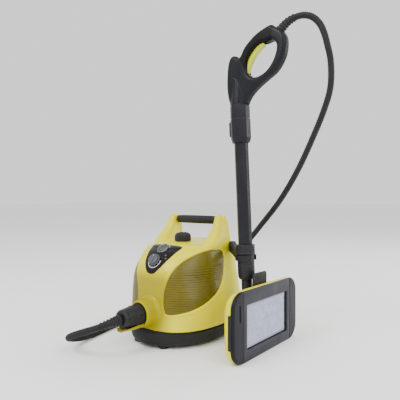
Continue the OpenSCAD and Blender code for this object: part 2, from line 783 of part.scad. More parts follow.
module end_clip_right() {
    placed() color([0.24, 0.24, 0.26]) translate([0, pivot[1], pivot[2]]) end_clip();
}

module release_pedal() {
    placed() color([0.1, 0.1, 0.11]) translate([236, pivot[1], pivot[2]]) difference() {
        union() {
            translate([0, -33, 60]) cube([4, 66, 42]);
            translate([0, 0, 84]) plate(33, 28, 10, 4);
            translate([2, -33, 66]) rotate([-90, 0, 0]) cylinder(h = 66, r = 3.8);
        }
        translate([2, -50, 66]) rotate([-90, 0, 0]) cylinder(h = 100, r = 2.05 + fit);
    }
}

module pedal_pin() {
    placed() color("silver") translate([238, pivot[1] - 39, pivot[2] + 66]) rotate([-90, 0, 0])
        cylinder(h = 78, r = 2.05);
}

base_tray();
rubber_feet();
base_screws();
upper_shell();
side_panel_right();
side_panel_left();
control_panel();
steam_knob();
pressure_gauge();
gauge_needle();
gauge_lens();
pilot_lamps();
carry_grip();
boiler();
heating_element();
thermostat();
solenoid_valve();
steam_pipe();
safety_valve();
circuit_board();
boiler_cap();
cap_plug();
cap_seal();
socket_nose();
steam_socket();
hose_plug();
plug_button();
plug_relief();
steam_hose();
handle_relief();
rear_plate();
power_switch();
cord_gland();
parking_bracket();
wand_tube();
lock_ring();
neck_socket();
upper_socket();
tube_lock_button();
handle_shell_left();
handle_shell_right();
handle_screws();
trigger();
trigger_pin();
trigger_spring();
micro_switch();
swivel_yoke();
hinge_pin();
head_shell();
head_plate();
steam_plate();
cloth_pad();
end_clip_left();
end_clip_right();
release_pedal();
pedal_pin();
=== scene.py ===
"""Canister steam cleaner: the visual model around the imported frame.

Lengths are millimetres in the coordinates of one of the frames under "places", which turn them into the
row frame's metres. Only the hose and the cloth are made in metres.
"""
import json
import math
import bmesh
import bpy
import numpy as np
from mathutils import Matrix, Vector


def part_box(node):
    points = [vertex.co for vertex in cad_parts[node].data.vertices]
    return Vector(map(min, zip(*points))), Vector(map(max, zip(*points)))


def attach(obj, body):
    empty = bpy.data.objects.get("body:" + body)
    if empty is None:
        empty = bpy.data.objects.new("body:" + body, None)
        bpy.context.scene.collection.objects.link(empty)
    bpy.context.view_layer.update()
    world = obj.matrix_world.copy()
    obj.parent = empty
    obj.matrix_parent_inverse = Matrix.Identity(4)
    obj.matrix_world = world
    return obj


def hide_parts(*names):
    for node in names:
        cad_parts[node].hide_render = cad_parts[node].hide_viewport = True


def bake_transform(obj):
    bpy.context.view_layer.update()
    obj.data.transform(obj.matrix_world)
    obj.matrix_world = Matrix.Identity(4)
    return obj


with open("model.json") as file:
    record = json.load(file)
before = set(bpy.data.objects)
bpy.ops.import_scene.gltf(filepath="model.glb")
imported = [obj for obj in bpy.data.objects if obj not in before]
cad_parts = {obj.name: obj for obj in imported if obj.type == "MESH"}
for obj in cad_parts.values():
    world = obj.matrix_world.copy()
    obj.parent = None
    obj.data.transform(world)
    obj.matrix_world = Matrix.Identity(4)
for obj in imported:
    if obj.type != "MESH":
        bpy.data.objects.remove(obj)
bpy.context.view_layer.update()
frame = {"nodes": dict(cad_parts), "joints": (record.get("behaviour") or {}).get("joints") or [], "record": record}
joints = {j["name"]: j for j in frame["joints"]}
nodes = frame["nodes"]

# -------- places

MM = Matrix.Diagonal((0.001, 0.001, 0.001, 1))


def frame_at(point, axis, side):
    """Millimetre frame at a point, with z along axis and x towards side."""
    z = Vector(axis).normalized()
    x = Vector(side)
    x = (x - z * x.dot(z)).normalized()
    turned = Matrix((x, z.cross(x), z)).transposed().to_4x4()
    turned.translation = Vector(point)
    return turned @ MM


def level_at(point):
    """Millimetre frame at a point, along the row frame's own axes."""
    return Matrix.Translation(point) @ MM


def joint_frame(name):
    """Millimetre frame on a joint, with z along its axis."""
    return frame_at(joints[name]["pos_m"], joints[name]["axis"], (1, 0, 0))


def middle(node):
    low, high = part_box(node)
    return (low + high) / 2


boiler_mid = middle("boiler")
# The machine's coordinates start this far behind the boiler's middle
MACHINE_BACK = 0.009
machine = level_at((boiler_mid.x, boiler_mid.y + MACHINE_BACK, 0))
wand = frame_at(joints["head_tilt"]["pos_m"], joints["wand_lift"]["axis"], joints["tube_release"]["axis"])
head = level_at(joints["head_tilt"]["pos_m"])
knob = joint_frame("knob_turn")
gauge = joint_frame("needle_swing")
cap = level_at((boiler_mid.x, boiler_mid.y, 0))
grip = frame_at(middle("carry_grip"), (1, 0, 0), (0, 1, 0))
STEAM_HEIGHT = 88


def front_axis(y):
    """Frame on the steam socket's axis, with z towards the front."""
    return frame_at(machine @ Vector((0, y, STEAM_HEIGHT)), (0, -1, 0), (1, 0, 0))


def button_axis(x):
    """Frame across the steam socket at its release button, with z towards +x."""
    return frame_at(machine @ Vector((x, BUTTON_Y, STEAM_HEIGHT)), (1, 0, 0), (0, 1, 0))


def points_in(place, co):
    """World points in a millimetre frame's own coordinates."""
    inverse = np.array(place.inverted())
    return co @ inverse[:3, :3].T + inverse[:3, 3]


# -------- camera and light

def link(name, data):
    obj = bpy.data.objects.new(name, data)
    bpy.context.scene.collection.objects.link(obj)
    return obj


def make_camera():
    data = bpy.data.cameras.new("camera")
    data.lens = 37.8
    data.sensor_width = 36
    camera = link("camera", data)
    camera.location = (0.705, -0.886, 0.383)
    camera.rotation_euler = (math.radians(89.84), 0, math.radians(38.9))
    bpy.context.scene.camera = camera


def make_light(name, place, aim, size, power):
    data = bpy.data.lights.new(name, "AREA")
    data.shape = "DISK"
    data.size = size
    data.energy = power
    light = link(name, data)
    light.location = place
    light.rotation_euler = (Vector(place) - Vector(aim)).to_track_quat("Z", "Y").to_euler()


def make_stage():
    world = bpy.data.worlds.new("studio")
    bpy.context.scene.world = world
    world.use_nodes = True
    feed(world.node_tree.nodes["Background"], Color=(1, 1, 1), Strength=1.2)
    mesh = bpy.data.meshes.new("floor")
    mesh.from_pydata([(-30, -30, 0), (30, -30, 0), (30, 30, 0), (-30, 30, 0)], [], [(0, 1, 2, 3)])
    floor = link("floor", mesh)
    pale = bpy.data.materials.new("floor_pale")
    pale.use_nodes = True
    feed(pale.node_tree.nodes["Principled BSDF"], Base_Color=(0.92, 0.92, 0.92), Roughness=0.8)
    mesh.materials.append(pale)
    make_light("key", (-0.6, -2.2, 2.6), (0, 0, 0.3), 1.6, 75)
    make_light("side", (2.4, -0.9, 2.3), (0, 0, 0.4), 2.4, 55)
    make_light("back", (0.4, 2.4, 2.2), (0, 0, 0.4), 1.5, 22)
    make_light("rim", (2.2, 2.3, 1.1), (0, 0, 0.4), 1.4, 32)


# -------- curves and rings

def catmull(points, steps, closed=False):
    """Smooth curve through the points, with this many steps from each to the next."""
    p = np.asarray(points, float)
    if closed:
        p = np.vstack([p[-1:], p, p[:2]])
    else:
        p = np.vstack([2 * p[:1] - p[1:2], p, 2 * p[-1:] - p[-2:-1]])
    t = (np.arange(steps) / steps)[None, :, None]
    a, b, c, d = (p[i:len(p) - 3 + i, None, :] for i in range(4))
    curve = (2 * b + (c - a) * t + (2 * a - 5 * b + 4 * c - d) * t**2 + (3 * b - a - 3 * c + d) * t**3) / 2
    curve = curve.reshape(-1, p.shape[1])
    return curve if closed else np.vstack([curve, p[-2:-1]])


def oval(half_x, half_y, roundness, sides):
    """Superellipse, counted anticlockwise."""
    t = np.arange(sides) * 2 * math.pi / sides
    c, s = np.cos(t), np.sin(t)
    return np.stack([half_x * np.sign(c) * np.abs(c) ** (2 / roundness),
                     half_y * np.sign(s) * np.abs(s) ** (2 / roundness)], 1)


def rounded(half_x, half_y, corner, arc=8):
    """Rectangle with round corners."""
    t = np.linspace(0, math.pi / 2, arc)
    quarter = np.stack([np.cos(t), np.sin(t)], 1) * corner
    turns = [(1, 1, 0), (-1, 1, 1), (-1, -1, 2), (1, -1, 3)]
    made = []
    for sx, sy, k in turns:
        c, s = round(math.cos(k * math.pi / 2)), round(math.sin(k * math.pi / 2))
        made.append(quarter @ np.array([[c, s], [-s, c]]) + (sx * (half_x - corner), sy * (half_y - corner)))
    return np.vstack(made)


def ring_at(flat, z, centre=(0, 0)):
    return np.column_stack([flat[:, 0] + centre[0], flat[:, 1] + centre[1], np.full(len(flat), z)])


def upright_ring(flat, x):
    """Outline given in y and z, at this x."""
    return np.column_stack([np.full(len(flat), x), flat])


def unit(vectors):
    return vectors / np.maximum(np.linalg.norm(vectors, axis=1), 1e-9)[:, None]


def smooth_step(x, low, high):
    t = np.clip((x - low) / (high - low), 0, 1)
    return t * t * (3 - 2 * t)


def inside_by(points, outline):
    """Signed distance from 2-D points to a closed outline, above 0 inside."""
    a, b = outline, np.roll(outline, -1, axis=0)
    edge = b - a
    to = points[:, None, :] - a[None]
    t = np.clip((to * edge).sum(2) / (edge**2).sum(1), 0, 1)
    near = np.linalg.norm(to - t[..., None] * edge, axis=2).min(1)
    above = a[None, :, 1] > points[:, None, 1]
    crosses = above != (b[None, :, 1] > points[:, None, 1])
    with np.errstate(divide="ignore", invalid="ignore"):
        at = a[:, 0] + (points[:, None, 1] - a[:, 1]) * edge[:, 0] / edge[:, 1]
    odd = (crosses & (points[:, None, 0] < at)).sum(1) % 2 == 1
    return np.where(odd, near, -near)


# -------- pieces

def face_outwards(mesh):
    shape = bmesh.new()
    shape.from_mesh(mesh)
    bmesh.ops.recalc_face_normals(shape, faces=shape.faces)
    shape.to_mesh(mesh)
    shape.free()


def add(name, place, points, faces):
    mesh = bpy.data.meshes.new(name)
    mesh.from_pydata([place @ Vector(p) for p in points], [], faces)
    mesh.validate()
    face_outwards(mesh)
    return link(name, mesh)


def loft_faces(rows, count, closed=True, caps=True, looped=False):
    faces = []
    for k in range(rows if looped else rows - 1):
        n = (k + 1) % rows
        for i in range(count if closed else count - 1):
            j = (i + 1) % count
            faces.append((k * count + i, k * count + j, n * count + j, n * count + i))
    if caps:
        faces.append(tuple(reversed(range(count))))
        faces.append(tuple((rows - 1) * count + i for i in range(count)))
    return faces


def loft(name, place, rings, **kind):
    """Skin through rings of equal point counts, stacked towards +z of their own frame."""
    return add(name, place, np.vstack(rings), loft_faces(len(rings), len(rings[0]), **kind))


def lathe(name, place, profile, sides=96, wave=None):
    """Solid of revolution about z from (radius, height) pairs. wave(radius, height, angle) may reshape it."""
    angle = np.arange(sides) * 2 * math.pi / sides
    rings = []
    for r, h in profile:
        radius = np.full(sides, float(r)) if wave is None else wave(r, h, angle)
        rings.append(np.column_stack([radius * np.cos(angle), radius * np.sin(angle), np.full(sides, h)]))
    hollow = profile[0][0] > 0.01 and profile[-1] == profile[0]
    if hollow:
        return loft(name, place, rings[:-1], caps=False, looped=True)
    return loft(name, place, rings)


def fillet(profile, radius=0.8, steps=3):
    """Rounds the corners of an open (radius, height) profile."""
    made = [profile[0]]
    for before, here, after in zip(profile, profile[1:], profile[2:]):
        a, b, c = (np.array(q, float) for q in (before, here, after))
        u, v = a - b, c - b
        lu, lv = np.linalg.norm(u), np.linalg.norm(v)
        cut = min(radius, lu * 0.45, lv * 0.45)
        start, end = b + u / lu * cut, b + v / lv * cut
        for t in np.linspace(0, 1, steps + 1):
            made.append(tuple((1 - t) ** 2 * start + 2 * t * (1 - t) * b + t * t * end))
    made.append(profile[-1])
    return made


def evaluated_mesh(obj):
    bpy.context.view_layer.update()
    return bpy.data.meshes.new_from_object(obj.evaluated_get(bpy.context.evaluated_depsgraph_get()))


def prism(name, place, outlines, low, high, edge):
    """Plate from closed outlines in x-y, the first one outside and the rest holes, with rounded edges."""
    data = bpy.data.curves.new(name, "CURVE")
    data.dimensions = "2D"
    data.fill_mode = "BOTH"
    data.extrude = (high - low) / 2 - edge
    data.bevel_depth = edge
    data.offset = -edge
    data.bevel_resolution = 3
    for outline in outlines:
        spline = data.splines.new("POLY")
        spline.points.add(len(outline) - 1)
        for point, p in zip(spline.points, outline):
            point.co = (p[0], p[1], 0, 1)
        spline.use_cyclic_u = True
    rough = link(name, data)
    mesh = evaluated_mesh(rough)
    bpy.data.objects.remove(rough)
    mesh.transform(place @ Matrix.Translation((0, 0, (low + high) / 2)))
    obj = link(name, mesh)
    mesh.name = name
    modify(obj, "WELD", merge_threshold=0.00002)
    return apply_modifiers(obj)


def box(name, place, low, high, edge):
    """Box with rounded edges."""
    size = np.array(high, float) - np.array(low, float)
    mid = (np.array(high, float) + np.array(low, float)) / 2
    flat = rounded(size[0] / 2, size[1] / 2, max(edge, 0.3), 4)
    t = np.linspace(0, math.pi / 2, 4)
    levels = [(edge * (1 - math.sin(a)), -size[2] / 2 + edge * (1 - math.cos(a))) for a in t[::-1]]
    levels = levels[::-1] + [(inset, -z) for inset, z in levels]
    rings = []
    for inset, z in levels:
        shrink = np.array([(size[0] / 2 - inset) / (size[0] / 2), (size[1] / 2 - inset) / (size[1] / 2)])
        rings.append(ring_at(flat * shrink, z + mid[2], mid[:2]))
    return loft(name, place, rings)


def modify(obj, kind, **settings):
    modifier = obj.modifiers.new(kind.lower(), kind)
    for name, value in settings.items():
        setattr(modifier, name, value)


def apply_modifiers(obj):
    mesh = evaluated_mesh(obj)
    obj.modifiers.clear()
    obj.data = mesh
    mesh.name = obj.name
    return obj


def soften_edges(obj, width, angle):
    """Bevel on the edges sharper than an angle, its width in mm."""
    modify(obj, "BEVEL", width=width / 1000, segments=2, limit_method="ANGLE",
           angle_limit=math.radians(angle))


def join(obj, *others):
    """The others' meshes become part of obj."""
    with bpy.context.temp_override(active_object=obj, selected_editable_objects=[obj, *others]):
        bpy.ops.object.join()
    return obj


def melt(obj, voxel, rounds):
    """One closed skin around everything in obj, with soft joins."""
    modify(obj, "REMESH", mode="VOXEL", voxel_size=voxel / 1000)
    modify(obj, "SMOOTH", factor=0.5, iterations=rounds)
    apply_modifiers(obj)


def cut(obj, *cutters):
    """Takes the cutters away from obj."""
    for cutter in cutters:
        modify(obj, "BOOLEAN", operation="DIFFERENCE", solver="EXACT", object=cutter)
        apply_modifiers(obj)
        bpy.data.objects.remove(cutter)


def read_points(obj):
    co = np.zeros(len(obj.data.vertices) * 3)
    obj.data.vertices.foreach_get("co", co)
    return co.reshape(-1, 3)


def write_points(obj, co):
    obj.data.vertices.foreach_set("co", co.ravel())
    obj.data.update()


def finish_piece(obj, body, finish, node=None, sharp=38, soften=0.0, level=False):
    """Material, shading and place of a finished piece. Its material slot holds the finish of that name.
    A piece called after a node, with _skin behind it, stands for that node. soften is the width of its
    softened edges in mm. level lets the larger faces set the shading, so that a flat face looks flat."""
    obj.data.materials.clear()
    obj.data.materials.append(FINISHES[finish])
    if soften:
        soften_edges(obj, soften, sharp)
        apply_modifiers(obj)
    obj.data.shade_smooth()
    obj.data.set_sharp_from_angle(angle=math.radians(sharp))
    if level:
        modify(obj, "WEIGHTED_NORMAL", keep_sharp=True, weight=90)
        apply_modifiers(obj)
    if body:
        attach(obj, body)
    if obj.name.endswith("_skin"):
        node = obj.name.removesuffix("_skin")
    if node:
        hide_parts(node)
    return obj


# -------- materials

def put(socket, value):
    """Links an input socket to an output, or gives it a value of its own."""
    if isinstance(value, bpy.types.NodeSocket):
        socket.id_data.links.new(value, socket)
    else:
        socket.default_value = (*value, 1) if socket.type == "RGBA" else value


def feed(node, **inputs):
    """Fills a node's inputs, with _ for each space in their names."""
    for name, value in inputs.items():
        put(node.inputs[name.replace("_", " ")], value)


def node_of(tree, kind, **inputs):
    node = tree.nodes.new(kind)
    feed(node, **inputs)
    return node


def math_of(tree, operation, *values, kind="ShaderNodeMath"):
    node = tree.nodes.new(kind)
    node.operation = operation
    for socket, value in zip(node.inputs, values):
        put(socket, value)
    return node.outputs["Value"]


def remap(tree, value, low, high, from_low=0.35, from_high=0.65):
    node = node_of(tree, "ShaderNodeMapRange", Value=value, From_Min=from_low, From_Max=from_high,
                   To_Min=low, To_Max=high)
    return node.outputs["Result"]


def blend_colours(tree, factor, first, second):
    node = tree.nodes.new("ShaderNodeMix")
    node.data_type = "RGBA"
    feed(node, Factor=factor, A=first, B=second)
    return node.outputs["Result"]


def noise(tree, place, scale, detail=3.0, stretch=None):
    if stretch:
        mapping = node_of(tree, "ShaderNodeMapping", Vector=place, Scale=stretch)
        place = mapping.outputs["Vector"]
    return node_of(tree, "ShaderNodeTexNoise", Vector=place, Scale=scale, Detail=detail).outputs["Fac"]


FINISHES = {}


def new_material(name):
    """Starts the finish of this name. Returns its node tree, its shader and the object coordinates."""
    FINISHES[name] = bpy.data.materials.new(name)
    FINISHES[name].use_nodes = True
    tree = FINISHES[name].node_tree
    place = tree.nodes.new("ShaderNodeTexCoord").outputs["Object"]
    return tree, tree.nodes["Principled BSDF"], place


def make_material(name, colour, shade, rough, grain, bump, coat=0.0, metal=0.0, specular=0.5,
                  stretch=None, recolour=None):
    """Moulded or metal surface. colour and shade are its two mottled tones, rough its range of roughness,
    grain the scale of its surface texture and bump that texture's height in mm. Returns the name."""
    tree, shader, place = new_material(name)
    mottle = remap(tree, noise(tree, place, 18, 4), 0, 1)
    colours = blend_colours(tree, mottle, colour, shade)
    # The optional step reshapes the colours: the handle's darker cover, and on the shell a painted dark
    # reflection.
    if recolour:
        colours = recolour(tree, place, colours)
    scuffs = noise(tree, place, 60, 6, (1, 1, 0.3))
    texture = noise(tree, place, grain, 2, stretch)
    bumped = node_of(tree, "ShaderNodeBump", Height=texture, Strength=1.0, Distance=bump / 1000)
    feed(shader, Base_Color=colours, Roughness=remap(tree, scuffs, *rough), Normal=bumped.outputs["Normal"],
         Metallic=metal, Specular_IOR_Level=specular, Coat_Weight=coat, Coat_Roughness=0.06)
    return name


def shell_painted_reflection(tree, place, colours):
    """Painted dark reflection: the shell's yellow turns warmer and deeper down the middle of its front."""
    split = node_of(tree, "ShaderNodeSeparateXYZ", Vector=place)
    across = math_of(tree, "ABSOLUTE", math_of(tree, "SUBTRACT", split.outputs["X"], boiler_mid.x))
    fade = remap(tree, across, 1, 0, 0.045, 0.08)
    for axis, low, high in (("Y", -0.1, -0.03), ("Z", 0.17, 0.21)):
        fade = math_of(tree, "MULTIPLY", fade, remap(tree, split.outputs[axis], 1, 0, low, high))
    # The deep olive blended in here is the painted dark reflection.
    return blend_colours(tree, math_of(tree, "MULTIPLY", fade, 0.9), colours, (0.3, 0.25, 0.0))


# Lines round the cover of the handle's upper arm, in the wand's x and z, and which side of each it is on
COVER_LINES = [((33, 625), (11, 671), -1), ((37, 621), (120, 690), 1), ((110, 690), (114, 735), 1)]


def cover_tint(tree, place, colours):
    """The handle's upper arm is a darker cover."""
    across = (wand @ Vector((0, 1, 0)) - wand @ Vector((0, 0, 0))).normalized()
    mask = 1.0
    for a, b, side in COVER_LINES:
        start, end = (wand @ Vector((x, 0, z)) for x, z in (a, b))
        inward = (end - start).normalized().cross(across) * side
        edge = inward.dot(start)
        away = math_of(tree, "DOT_PRODUCT", place, inward, kind="ShaderNodeVectorMath")
        mask = math_of(tree, "MULTIPLY", remap(tree, away, 0, 1, edge - 0.0003, edge + 0.0003), mask)
    return blend_colours(tree, mask, colours, (0.001, 0.0008, 0.0015))


def make_cloth_material():
    """Microfibre: short looped pile over a fine knit."""
    tree, shader, place = new_material("cloth")
    patches = remap(tree, noise(tree, place, 55, 5), 0, 1)
    colours = blend_colours(tree, patches, (0.42, 0.46, 0.62), (0.55, 0.59, 0.76))
    pile = node_of(tree, "ShaderNodeTexVoronoi", Vector=place, Scale=650).outputs["Distance"]
    colours = blend_colours(tree, remap(tree, pile, 0, 0.35, 0.2, 0.8), colours, (0.3, 0.33, 0.47))
    rows = node_of(tree, "ShaderNodeTexWave", Vector=place, Scale=420, Distortion=2.5)
    rows.bands_direction = "Z"
    fluff = math_of(tree, "ADD", pile, rows.outputs["Fac"])
    bumped = node_of(tree, "ShaderNodeBump", Height=fluff, Strength=0.8, Distance=0.0006)
    feed(shader, Base_Color=colours, Normal=bumped.outputs["Normal"], Roughness=0.95, Sheen_Weight=0.35,
         Sheen_Roughness=0.5)
    return "cloth"


def make_lens_material():
    tree, shader, place = new_material("lens_clear")
    feed(shader, Roughness=remap(tree, noise(tree, place, 90, 4), 0.03, 0.12), Base_Color=(0.9, 0.93, 0.95),
         Transmission_Weight=1.0, IOR=1.45)


# The shell's yellow carries a painted dark reflection down the middle of its front.
YELLOW = make_material("shell_yellow", (0.72, 0.65, 0.0), (0.68, 0.61, 0.0), (0.2, 0.3), 900, 0.01,
                       coat=0.05, specular=0.14, recolour=shell_painted_reflection)
OLIVE = make_material("panel_olive", (0.115, 0.091, 0.0), (0.09, 0.072, 0.0), (0.3, 0.4), 900, 0.01,
                      coat=0.08, specular=0.25)
BASE = make_material("base_black", (0.01, 0.01, 0.011), (0.013, 0.013, 0.014), (0.42, 0.58), 1500, 0.05,
                     specular=0.22)
GLOSS = make_material("panel_black", (0.003, 0.003, 0.004), (0.005, 0.005, 0.006), (0.08, 0.16), 500, 0.004,
                      coat=0.1, specular=0.15)
DARK = make_material("plastic_dark", (0.012, 0.012, 0.014), (0.016, 0.016, 0.018), (0.34, 0.46), 1700, 0.04,
                     specular=0.22)
WAND_GREY = make_material("wand_grey", (0.01, 0.01, 0.0125), (0.013, 0.013, 0.016), (0.34, 0.46), 1700, 0.04,
                          specular=0.16)
HANDLE_GREY = make_material("handle_grey", (0.007, 0.0075, 0.0095), (0.009, 0.0095, 0.012), (0.32, 0.44),
                            1700, 0.04, specular=0.14, recolour=cover_tint)
KNOB_GREY = make_material("knob_grey", (0.05, 0.054, 0.06), (0.06, 0.064, 0.07), (0.25, 0.35), 1700, 0.03)
PLATE = make_material("plate_grey", (0.02, 0.02, 0.026), (0.025, 0.025, 0.031), (0.38, 0.5), 1700, 0.04,
                      specular=0.2)
METAL = make_material("gauge_metal", (0.2, 0.2, 0.22), (0.28, 0.28, 0.3), (0.24, 0.36), 500, 0.01, metal=0.9)
RUBBER = make_material("rubber_black", (0.008, 0.008, 0.009), (0.011, 0.011, 0.012), (0.45, 0.6), 1900, 0.04,
                       specular=0.25)
LIME = make_material("trigger_lime", (0.5, 0.55, 0.0), (0.44, 0.48, 0.0), (0.22, 0.34), 900, 0.02, coat=0.2)
WHITE = make_material("print_white", (0.7, 0.71, 0.72), (0.62, 0.63, 0.64), (0.4, 0.5), 900, 0.01)
FACE = make_material("dial_face", (0.1, 0.1, 0.11), (0.13, 0.13, 0.14), (0.4, 0.5), 900, 0.01)
CLOTH = make_cloth_material()

# The rest are worn only by CAD nodes, which find them by the name of their slot
make_lens_material()
make_material("needle_red", (0.6, 0.03, 0.02), (0.52, 0.025, 0.02), (0.4, 0.5), 900, 0.01)
make_material("lamp_amber", (0.2, 0.06, 0.02), (0.16, 0.045, 0.015), (0.12, 0.2), 700, 0.01, coat=0.4)
make_material("seal_red", (0.4, 0.06, 0.04), (0.34, 0.05, 0.035), (0.5, 0.6), 1200, 0.02)
make_material("steel", (0.58, 0.58, 0.6), (0.5, 0.5, 0.52), (0.26, 0.4), 300, 0.02, metal=1.0,
              stretch=(1, 1, 12))
make_material("heater_grey", (0.4, 0.4, 0.4), (0.32, 0.32, 0.33), (0.5, 0.65), 600, 0.1, metal=0.8)
make_material("ceramic", (0.74, 0.7, 0.62), (0.68, 0.64, 0.56), (0.4, 0.5), 900, 0.02)
make_material("brass", (0.68, 0.47, 0.18), (0.58, 0.39, 0.14), (0.25, 0.38), 500, 0.02, metal=1.0)
make_material("board_green", (0.02, 0.16, 0.06), (0.03, 0.22, 0.08), (0.35, 0.5), 800, 0.05)
make_material("switch_red", (0.55, 0.03, 0.02), (0.48, 0.025, 0.02), (0.18, 0.28), 700, 0.01)


def finish_nodes():
    """Gives every CAD node that still shows its material, and softens its edges."""
    for part in frame["record"]["subparts"]:
        node = nodes[part["node"]]
        if node.hide_render:
            continue
        node.data.materials.clear()
        node.data.materials.append(FINISHES[part["material_slot"]])
        soften_edges(node, 0.4, 40)
        node.data.shade_smooth()
        node.data.set_sharp_from_angle(angle=math.radians(32))


# -------- shell surface

# Height, half width, half depth and plan centre's y of the shell
SHELL = [
    (45, 130, 163, 7), (70, 134, 158, 10), (100, 137, 154, 10), (130, 137, 150, 8), (160, 132, 147, 6),
    (175, 128, 147, 6.5), (190, 124, 146, 8), (205, 120, 143, 12), (220, 116, 138, 17), (231, 114, 133, 23),
    (240, 112, 128, 28), (247, 108, 122, 33), (252, 104, 118, 36), (256, 97, 109, 39), (259, 87, 97, 42),
    (261, 73, 82, 45), (262, 50, 56, 46),
]
SHELL_TOP = 262.2
PLAN = 2.6
SHELL_ROWS = catmull(SHELL, 8)
# Height, inner x, outer x, front y and back y of a carry-handle post
POST = [
    (226, 58, 104, -2, 84), (244, 62, 111, -22, 88), (258, 65, 113, -22, 86), (264, 68, 112.5, -16, 84),
    (272, 70, 111.5, -6, 82), (282, 71.5, 109.5, 5, 81), (294, 73, 107, 17, 80), (306, 74, 104.5, 26, 79),
    (318, 74.5, 102, 31, 77), (328, 75, 99.5, 35, 74), (334, 76, 97, 39, 70), (338, 81, 92, 45, 64),
]
# Side panel outline: distance along its plan direction, height
LEAF = [
    (-48, 93), (-52, 124), (-45, 162), (-28, 197), (0, 222), (38, 239), (80, 248), (101, 244),
    (110, 229), (110, 200), (105, 165), (90, 136), (60, 113), (24, 98), (-20, 88), (-39, 87),
]
LEAF_TURN = math.radians(39)
LEAF_ALONG = np.array([math.cos(LEAF_TURN), math.sin(LEAF_TURN), 0])
LEAF_OUT = np.array([math.sin(LEAF_TURN), -math.cos(LEAF_TURN), 0])
# Control panel outline: half width, distance up the slope
SHIELD = [
    (0, -1), (13, 2), (23, 12), (33, 27), (43, 50), (51, 76), (54, 92), (49, 98), (30, 99.5), (0, 100),
]
SLOPE = math.radians(48.9)
SLOPE_FOOT = np.array([0, -140, 187])
SLOPE_UP = np.array([0, math.cos(SLOPE), math.sin(SLOPE)])
SLOPE_OUT = np.array([0, -math.sin(SLOPE), math.cos(SLOPE)])
# Where the rays that find a panel's skin start, along its outward direction, and the shell's dip under it
LEAF_START = 15
SHIELD_START = -25
LEAF_SINK = 3.2
SHIELD_SINK = 3.0


def shell_value(p):
    """Below 1 inside the shell and above 1 outside."""
    a, b, y = (np.interp(p[:, 2], SHELL_ROWS[:, 0], SHELL_ROWS[:, k]) for k in (1, 2, 3))
    crown = np.maximum(0, (p[:, 2] - SHELL_ROWS[-1, 0])) / 4
    across = np.abs(p[:, 0]) / a
    along = np.abs(p[:, 1] - y) / b
    return (across**PLAN + along**PLAN) ** (1 / PLAN) + crown


def shell_normal(p):
    steps = np.eye(3) * 0.6
    return unit(np.stack([shell_value(p + s) - shell_value(p - s) for s in steps], 1))


def on_shell(start, out, reach=240):
    """Points where rays from start, inside the shell, leave it, and the outward normals there."""
    low, high = np.zeros(len(start)), np.full(len(start), float(reach))
    for _ in range(36):
        mid = (low + high) / 2
        inside = shell_value(start + mid[:, None] * out) < 1
        low, high = np.where(inside, mid, low), np.where(inside, high, mid)
    p = start + low[:, None] * out
    return p, shell_normal(p)


def leaf_surface(flat):
    start = flat[:, :1] * LEAF_ALONG + np.array([0, 0, 1]) * flat[:, 1:2] + LEAF_START * LEAF_OUT
    return on_shell(start, LEAF_OUT)


def mirrored_leaf(flat):
    p, n = leaf_surface(flat)
    return p * (-1, 1, 1), n * (-1, 1, 1)


def shield_surface(flat):
    on_slope = SLOPE_FOOT + flat[:, :1] * np.array([1, 0, 0]) + flat[:, 1:2] * SLOPE_UP
    return on_shell(on_slope + SHIELD_START * SLOPE_OUT, SLOPE_OUT, 80)


def shield_outline():
    right = catmull(SHIELD, 4)
    left = right[-2:0:-1] * (-1, 1)
    return np.vstack([right, left])


# Cross-section of a panel's raised rim: distance outside the outline, height above the shell
RIM = [(9.5, -0.6), (8, 0.25), (6, 0.95), (4, 1.25), (2, 1.2), (0.4, 0.6), (-0.3, -0.5), (-0.5, -2.6),
       (4, -2.6)]
SLIM_RIM = [(4.2, -0.5), (3.2, 0.25), (2, 0.6), (0.8, 0.5), (0, 0), (-0.4, -0.9), (-0.5, -2.4), (2, -2.4)]


def rim(name, outline, surface, section):
    """Raised band that follows a closed outline on the shell."""
    p, n = surface(outline)
    side = np.cross(unit(np.roll(p, -1, axis=0) - np.roll(p, 1, axis=0)), n)
    side *= -np.sign((side * (p.mean(0) - p)).sum(1).mean())
    rings = [p + b * side + h * n for b, h in section]
    return loft(name, machine, rings, caps=False, looped=True)


def sink_into(obj, flat, outline, depth, normals, which):
    """Lowers the shell's skin inside a panel's outline, where it will be covered."""
    co = read_points(obj)
    near = which & (flat > outline.min(0)).all(1) & (flat < outline.max(0)).all(1)
    picked = np.where(near)[0]
    inner = inside_by(flat[picked], outline)
    co[picked] -= normals[picked] * (depth * smooth_step(inner, -0.6, 1.4))[:, None] / 1000
    write_points(obj, co)


